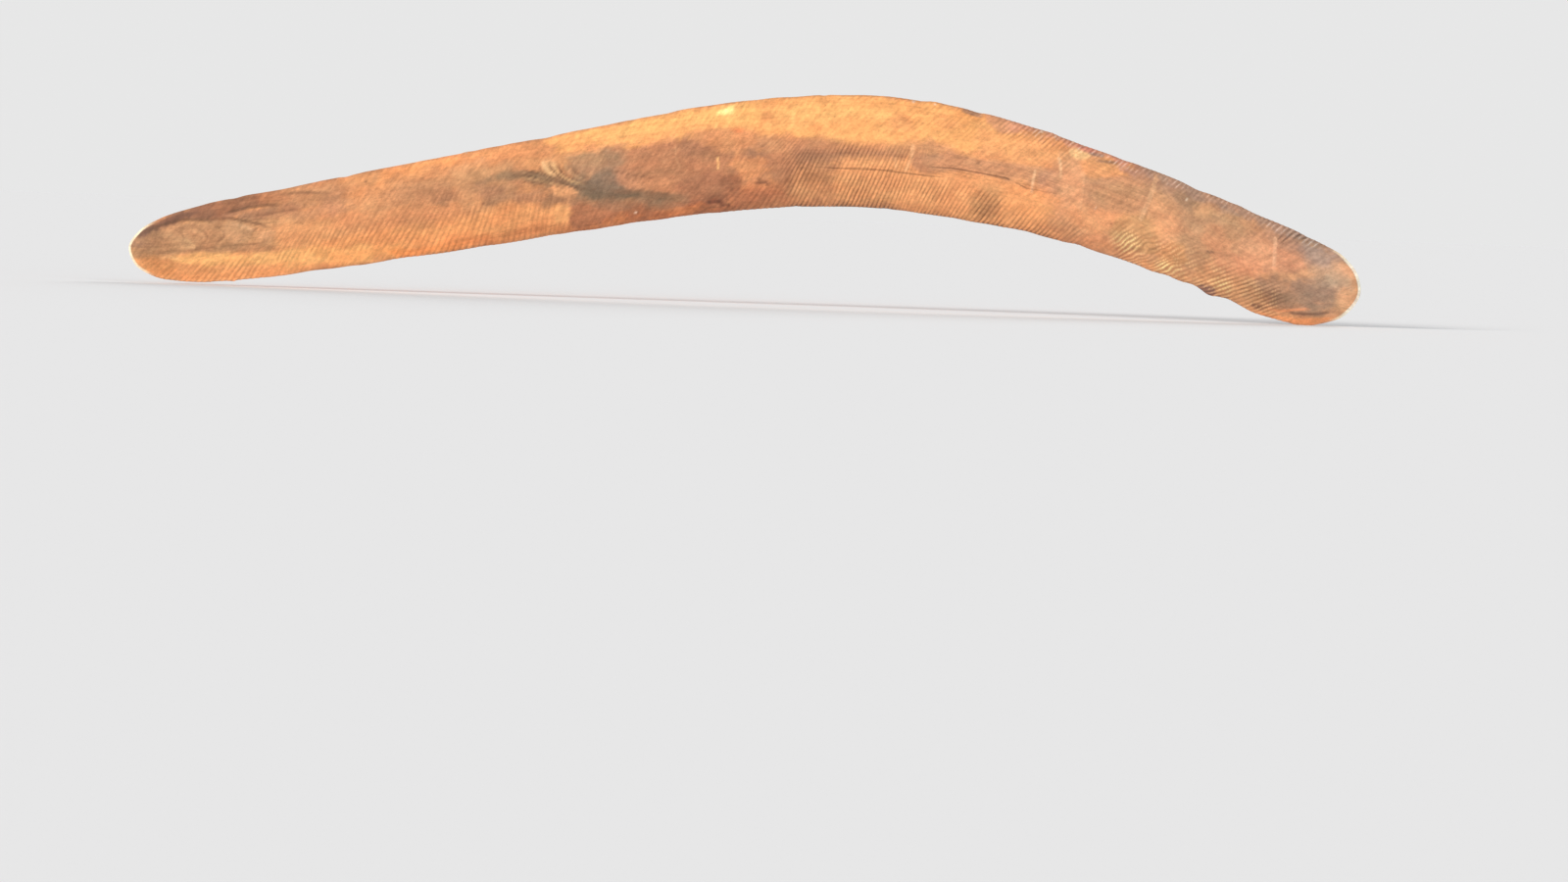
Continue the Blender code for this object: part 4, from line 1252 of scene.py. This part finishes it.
def build_blade():
    """The mesh of the whole blade, with its colours and what the material reads."""
    front, back = both_sides()
    inner_phase = flute_phase(front, INNER_LEAN, INNER_PITCH, INNER_START, 21)
    outer_phase = flute_phase(front, OUTER_LEAN, OUTER_PITCH, OUTER_START, 23)
    inner_on, outer_on = flute_strengths(front)
    cut = front_relief(front, inner_phase, outer_phase, inner_on, outer_on)
    front_y = -(front_height(front) - cut)
    back_y = -(back_depth(back) + back_relief(back))
    front.z += rim_notches(front, inner_phase, outer_phase, inner_on, outer_on)

    # The back's outermost rows lie on the front's rim, so they are left out.
    columns, rows = front.x.shape
    back_columns = back.x.shape[0]
    back_rows = back.x.shape[1] - 2
    front_points = stack(front.x, front_y, front.z).reshape(-1, 3)
    back_points = stack(back.x, back_y, back.z)[:, 1:-1].reshape(-1, 3)
    tips = [[x, -RIM_DEPTH, z] for x, z in (CONVEX_EDGE[0], CONVEX_EDGE[-1])]
    points = np.concatenate([front_points, back_points, tips])
    front_ids = np.arange(columns * rows).reshape(columns, rows)
    back_ids = columns * rows + np.arange(back_columns * back_rows).reshape(back_columns, back_rows)
    faces = blade_faces(front_ids, back_ids, len(points) - 2, len(points) - 1)

    mesh = bpy.data.meshes.new("carved_blade")
    mesh.from_pydata((points * MM).tolist(), [], faces)
    mesh.validate()
    mesh.polygons.foreach_set("use_smooth", [True] * len(mesh.polygons))

    def spread(on_front, on_back):
        """One value for each of the mesh's points: front, back, then the two tips."""
        f = on_front.reshape(columns * rows, -1)
        g = on_back[:, 1:-1].reshape(back_columns * back_rows, -1)
        ends = np.stack([f[rows // 2], f[-(rows // 2)]])
        return np.concatenate([f, g, ends])

    tone = spread(paint_front(front, inner_phase, outer_phase), paint_back(back))
    rgba = np.concatenate([tone, np.ones((len(tone), 1))], axis=1)
    add_attribute(mesh, "tone", "FLOAT_COLOR", "color", rgba)

    # Where the material reads its noise. The third number keeps the fields apart.
    zero = np.zeros_like(back.x)
    grain = spread(stack(front.s, front.v, np.zeros_like(front.s)), stack(back.s, back.v, zero + 40.0))
    add_attribute(mesh, "grain", "FLOAT_VECTOR", "vector", grain)
    on_inner = inner_on > outer_on
    phase = np.where(on_inner, inner_phase, outer_phase)
    strokes = stack(phase, front.v, np.where(on_inner, 0.0, 50.0))
    back_strokes = stack(back.s / 2.5, back.v, zero + 90.0)
    add_attribute(mesh, "strokes", "FLOAT_VECTOR", "vector", spread(strokes, back_strokes))

    crack, crack_on = crack_offset(front)
    fields = {
        "flute": (phase, zero),
        "flute_on": (np.maximum(inner_on, outer_on), zero),
        "grain_on": (lengthwise_grain(front), zero + 0.6),
        "crack": (crack, zero + 9.0),
        "crack_on": (crack_on, zero),
        "back": (np.zeros_like(front.x), zero + 1.0),
    }
    for name, (on_front, on_back) in fields.items():
        add_attribute(mesh, name, "FLOAT", "value", spread(on_front, on_back))
    return mesh


# ---------------------------------------------------------------- the material

class Nodes:
    """Short names for the few kinds of node that the wood needs."""

    def __init__(self, material):
        material.use_nodes = True
        self.tree = material.node_tree
        self.shader = self.tree.nodes["Principled BSDF"]

    def link(self, source, target):
        self.tree.links.new(source, target)

    def put(self, socket, value):
        """Links a socket to another one or gives it a plain value."""
        if isinstance(value, bpy.types.NodeSocket):
            self.link(value, socket)
        else:
            socket.default_value = value

    def attribute(self, name, output="Fac"):
        node = self.tree.nodes.new("ShaderNodeAttribute")
        node.attribute_name = name
        return node.outputs[output]

    def math(self, operation, a, b=0.0):
        node = self.tree.nodes.new("ShaderNodeMath")
        node.operation = operation
        self.put(node.inputs[0], a)
        self.put(node.inputs[1], b)
        return node.outputs[0]

    def stretch(self, vector, scale):
        node = self.tree.nodes.new("ShaderNodeMapping")
        self.link(vector, node.inputs["Vector"])
        node.inputs["Scale"].default_value = scale
        return node.outputs[0]

    def noise(self, vector, detail, rough, distortion=0.0):
        node = self.tree.nodes.new("ShaderNodeTexNoise")
        self.link(vector, node.inputs["Vector"])
        node.inputs["Scale"].default_value = 1.0
        node.inputs["Detail"].default_value = detail
        node.inputs["Roughness"].default_value = rough
        node.inputs["Distortion"].default_value = distortion
        return node.outputs["Fac"]

    def remap(self, value, low, high, to_low, to_high):
        """Turns the range from low to high smoothly into another one."""
        node = self.tree.nodes.new("ShaderNodeMapRange")
        node.interpolation_type = "SMOOTHSTEP"
        self.put(node.inputs["Value"], value)
        node.inputs["From Min"].default_value = low
        node.inputs["From Max"].default_value = high
        node.inputs["To Min"].default_value = to_low
        node.inputs["To Max"].default_value = to_high
        return node.outputs["Result"]

    def mix(self, blend, amount, a, b):
        node = self.tree.nodes.new("ShaderNodeMix")
        node.data_type = "RGBA"
        node.blend_type = blend
        # These are the colour sockets of the node: factor, A, B and the result.
        self.put(node.inputs[0], amount)
        self.put(node.inputs[6], a)
        self.put(node.inputs[7], b)
        return node.outputs[2]


def carved_wood():
    """The painted colour with grain, painted shade in the strokes and the crack over it."""
    material = bpy.data.materials.new("carved_wood")
    n = Nodes(material)
    tone = n.attribute("tone", "Color")
    grain = n.attribute("grain", "Vector")
    back = n.attribute("back")

    # Fine grain along the blade, mottling and short strokes, as gains on the painted colour.
    strokes = n.attribute("strokes", "Vector")
    grain_on = n.attribute("grain_on")
    fibres = n.noise(n.stretch(grain, (0.012, 0.40, 1.0)), 5.0, 0.6, 0.4)
    threads = n.noise(n.stretch(grain, (0.05, 1.0, 1.0)), 3.0, 0.6)
    mottle = n.noise(n.stretch(grain, (0.09, 0.16, 1.0)), 5.0, 0.6)
    crumbs = n.noise(n.stretch(grain, (0.40, 0.55, 1.0)), 3.0, 0.65)
    specks = n.noise(n.stretch(grain, (0.8, 1.1, 1.0)), 2.0, 0.5)
    dashes = n.noise(n.stretch(strokes, (0.95, 0.16, 1.0)), 3.0, 0.62)
    coarse = n.remap(fibres, 0.3, 0.7, -0.13, 0.11)
    fine = n.remap(threads, 0.25, 0.75, -0.11, 0.10)
    along = n.math("ADD", coarse, fine)
    gain = n.math("ADD", 1.0, n.math("MULTIPLY", along, grain_on))
    gain = n.math("MULTIPLY", gain, n.remap(mottle, 0.3, 0.7, 0.88, 1.10))
    gain = n.math("MULTIPLY", gain, n.remap(crumbs, 0.28, 0.72, 0.88, 1.10))
    gain = n.math("MULTIPLY", gain, n.remap(specks, 0.24, 0.42, 0.84, 1.0))
    front_only = n.math("SUBTRACT", 1.0, back)
    broken = n.math("MULTIPLY", n.remap(dashes, 0.3, 0.7, -0.15, 0.15), front_only)
    gain = n.math("MULTIPLY", gain, n.math("ADD", 1.0, broken))

    # Painted shade lies in the strokes' grooves, more so in some places than in others.
    flute = n.math("FRACT", n.attribute("flute"))
    dip = n.math("ABSOLUTE", n.math("SUBTRACT", flute, 0.5))
    dark_line = n.remap(dip, 0.04, 0.36, 1.0, 0.0)
    held = n.math("MULTIPLY", n.attribute("flute_on"), n.remap(dashes, 0.3, 0.6, 0.45, 1.0))
    stroke_shade = n.math("MULTIPLY", n.math("MULTIPLY", dark_line, held), 0.46)
    gain = n.math("MULTIPLY", gain, n.math("SUBTRACT", 1.08, stroke_shade))

    # The crack.
    gap = n.math("ABSOLUTE", n.attribute("crack"))
    split = n.math("MULTIPLY", n.remap(gap, 0.15, 0.6, 1.0, 0.0), n.attribute("crack_on"))
    gain = n.math("MULTIPLY", gain, n.math("SUBTRACT", 1.0, n.math("MULTIPLY", split, 0.45)))

    # Some patches are yellower and some redder than the paint says.
    hue = n.noise(n.stretch(grain, (0.05, 0.11, 1.0)), 4.0, 0.62)
    yellow = n.remap(hue, 0.32, 0.68, 0.0, 1.0)
    tint = n.mix("MIX", yellow, (0.95, 0.85, 0.80, 1.0), (0.92, 0.91, 0.87, 1.0))
    back_tint = n.mix("MIX", yellow, (1.0, 0.93, 0.85, 1.0), (1.0, 1.0, 0.92, 1.0))
    tint = n.mix("MIX", back, tint, back_tint)
    colour = n.mix("MULTIPLY", 1.0, tone, gain)
    colour = n.mix("MULTIPLY", 1.0, colour, tint)
    n.link(colour, n.shader.inputs["Base Color"])

    rough = n.remap(mottle, 0.25, 0.75, 0.5, 0.66)
    n.link(rough, n.shader.inputs["Roughness"])
    n.shader.inputs["Specular IOR Level"].default_value = 0.3

    bump = n.tree.nodes.new("ShaderNodeBump")
    bump.inputs["Strength"].default_value = 0.35
    bump.inputs["Distance"].default_value = 0.0002
    height = n.math("ADD", n.math("MULTIPLY", threads, 0.6), n.math("MULTIPLY", crumbs, 0.8))
    height = n.math("SUBTRACT", height, n.math("MULTIPLY", split, 1.6))
    n.link(height, bump.inputs["Height"])
    n.link(bump.outputs["Normal"], n.shader.inputs["Normal"])
    return material


blade_mesh = build_blade()
blade_mesh.materials.append(carved_wood())
blade = bpy.data.objects.new("carved_blade", blade_mesh)
bpy.context.scene.collection.objects.link(blade)
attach(blade, "root")
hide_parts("blade")

# ------------------------------------------------------------------- the stage

def plain_material(name, colour, roughness):
    """A matt, even colour."""
    material = bpy.data.materials.new(name)
    material.use_nodes = True
    shader = material.node_tree.nodes["Principled BSDF"]
    shader.inputs["Base Color"].default_value = (*colour, 1.0)
    shader.inputs["Roughness"].default_value = roughness
    shader.inputs["Specular IOR Level"].default_value = 0.0
    return material


# The floor, in metres, lies just under the plain blade. The carved edge's lowest lip
# reaches 0.2 mm into it.
FLOOR_HALF = 30.0
FLOOR_GAP = 0.0003
FLOOR_COLOUR = (0.775, 0.781, 0.795)

floor_mesh = bpy.data.meshes.new("floor")
floor_height = box_before[0].z - FLOOR_GAP
corners = [(-1, -1), (1, -1), (1, 1), (-1, 1)]
floor_points = [(x * FLOOR_HALF, y * FLOOR_HALF, floor_height) for x, y in corners]
floor_mesh.from_pydata(floor_points, [], [(0, 1, 2, 3)])
floor_mesh.materials.append(plain_material("floor", FLOOR_COLOUR, 1.0))
floor = bpy.data.objects.new("floor", floor_mesh)
bpy.context.scene.collection.objects.link(floor)

# The floor and the world behind it are equally bright, so no horizon shows.
WORLD_LIGHT = 0.50
WORLD_SEEN = 0.80

world = bpy.data.worlds.new("studio")
world.use_nodes = True
backdrop = world.node_tree.nodes["Background"]
backdrop.inputs["Color"].default_value = (1.0, 1.0, 1.0, 1.0)
ray = world.node_tree.nodes.new("ShaderNodeLightPath")
level = world.node_tree.nodes.new("ShaderNodeMapRange")
level.inputs["To Min"].default_value = WORLD_LIGHT
level.inputs["To Max"].default_value = WORLD_SEEN
world.node_tree.links.new(ray.outputs["Is Camera Ray"], level.inputs["Value"])
world.node_tree.links.new(level.outputs["Result"], backdrop.inputs["Strength"])
bpy.context.scene.world = world
bpy.context.scene.view_settings.view_transform = "Standard"


def soft_sun(name, towards, spread_deg, power, colour):
    """A sun that stands in the given direction; a wide spread gives soft shadows."""
    data = bpy.data.lights.new(name, "SUN")
    data.angle = math.radians(spread_deg)
    data.energy = power
    data.color = colour
    lamp = bpy.data.objects.new(name, data)
    lamp.rotation_euler = (-Vector(towards)).to_track_quat("-Z", "Y").to_euler()
    bpy.context.scene.collection.objects.link(lamp)


soft_sun("key", (-0.80, -0.48, 0.40), 16.0, 2.2, (1.0, 0.97, 0.93))
soft_sun("fill", (0.70, -0.85, 0.35), 40.0, 0.7, (0.95, 0.98, 1.0))
soft_sun("back_light", (0.45, 0.80, 0.40), 30.0, 1.5, (1.0, 0.98, 0.95))

# ------------------------------------------------------------------ the camera

# The lens in mm, and in metres how wide the picture is at the blade and where a mark
# near the middle of the blade stands in it.
LENS = 120.0
SENSOR = 36.0
FIELD_WIDTH = 0.9184
ROLL = math.radians(2.1)
MARK = Vector((-0.068, 0.0, -0.037))
MARK_RIGHT_OF_CENTRE = -0.02296
MARK_ABOVE_CENTRE = 0.13489

camera_data = bpy.data.cameras.new("camera")
camera_data.lens = LENS
camera_data.sensor_width = SENSOR
camera_data.clip_end = 100.0
camera = bpy.data.objects.new("camera", camera_data)
distance = LENS / SENSOR * FIELD_WIDTH
pitch = math.atan(MARK_ABOVE_CENTRE / distance)
turn = Euler((math.pi / 2 - pitch, 0.0, 0.0)).to_matrix() @ Matrix.Rotation(ROLL, 3, "Z")
camera.location = MARK - turn @ Vector((MARK_RIGHT_OF_CENTRE, MARK_ABOVE_CENTRE, -distance))
camera.rotation_euler = turn.to_euler()
bpy.context.scene.collection.objects.link(camera)
bpy.context.scene.camera = camera
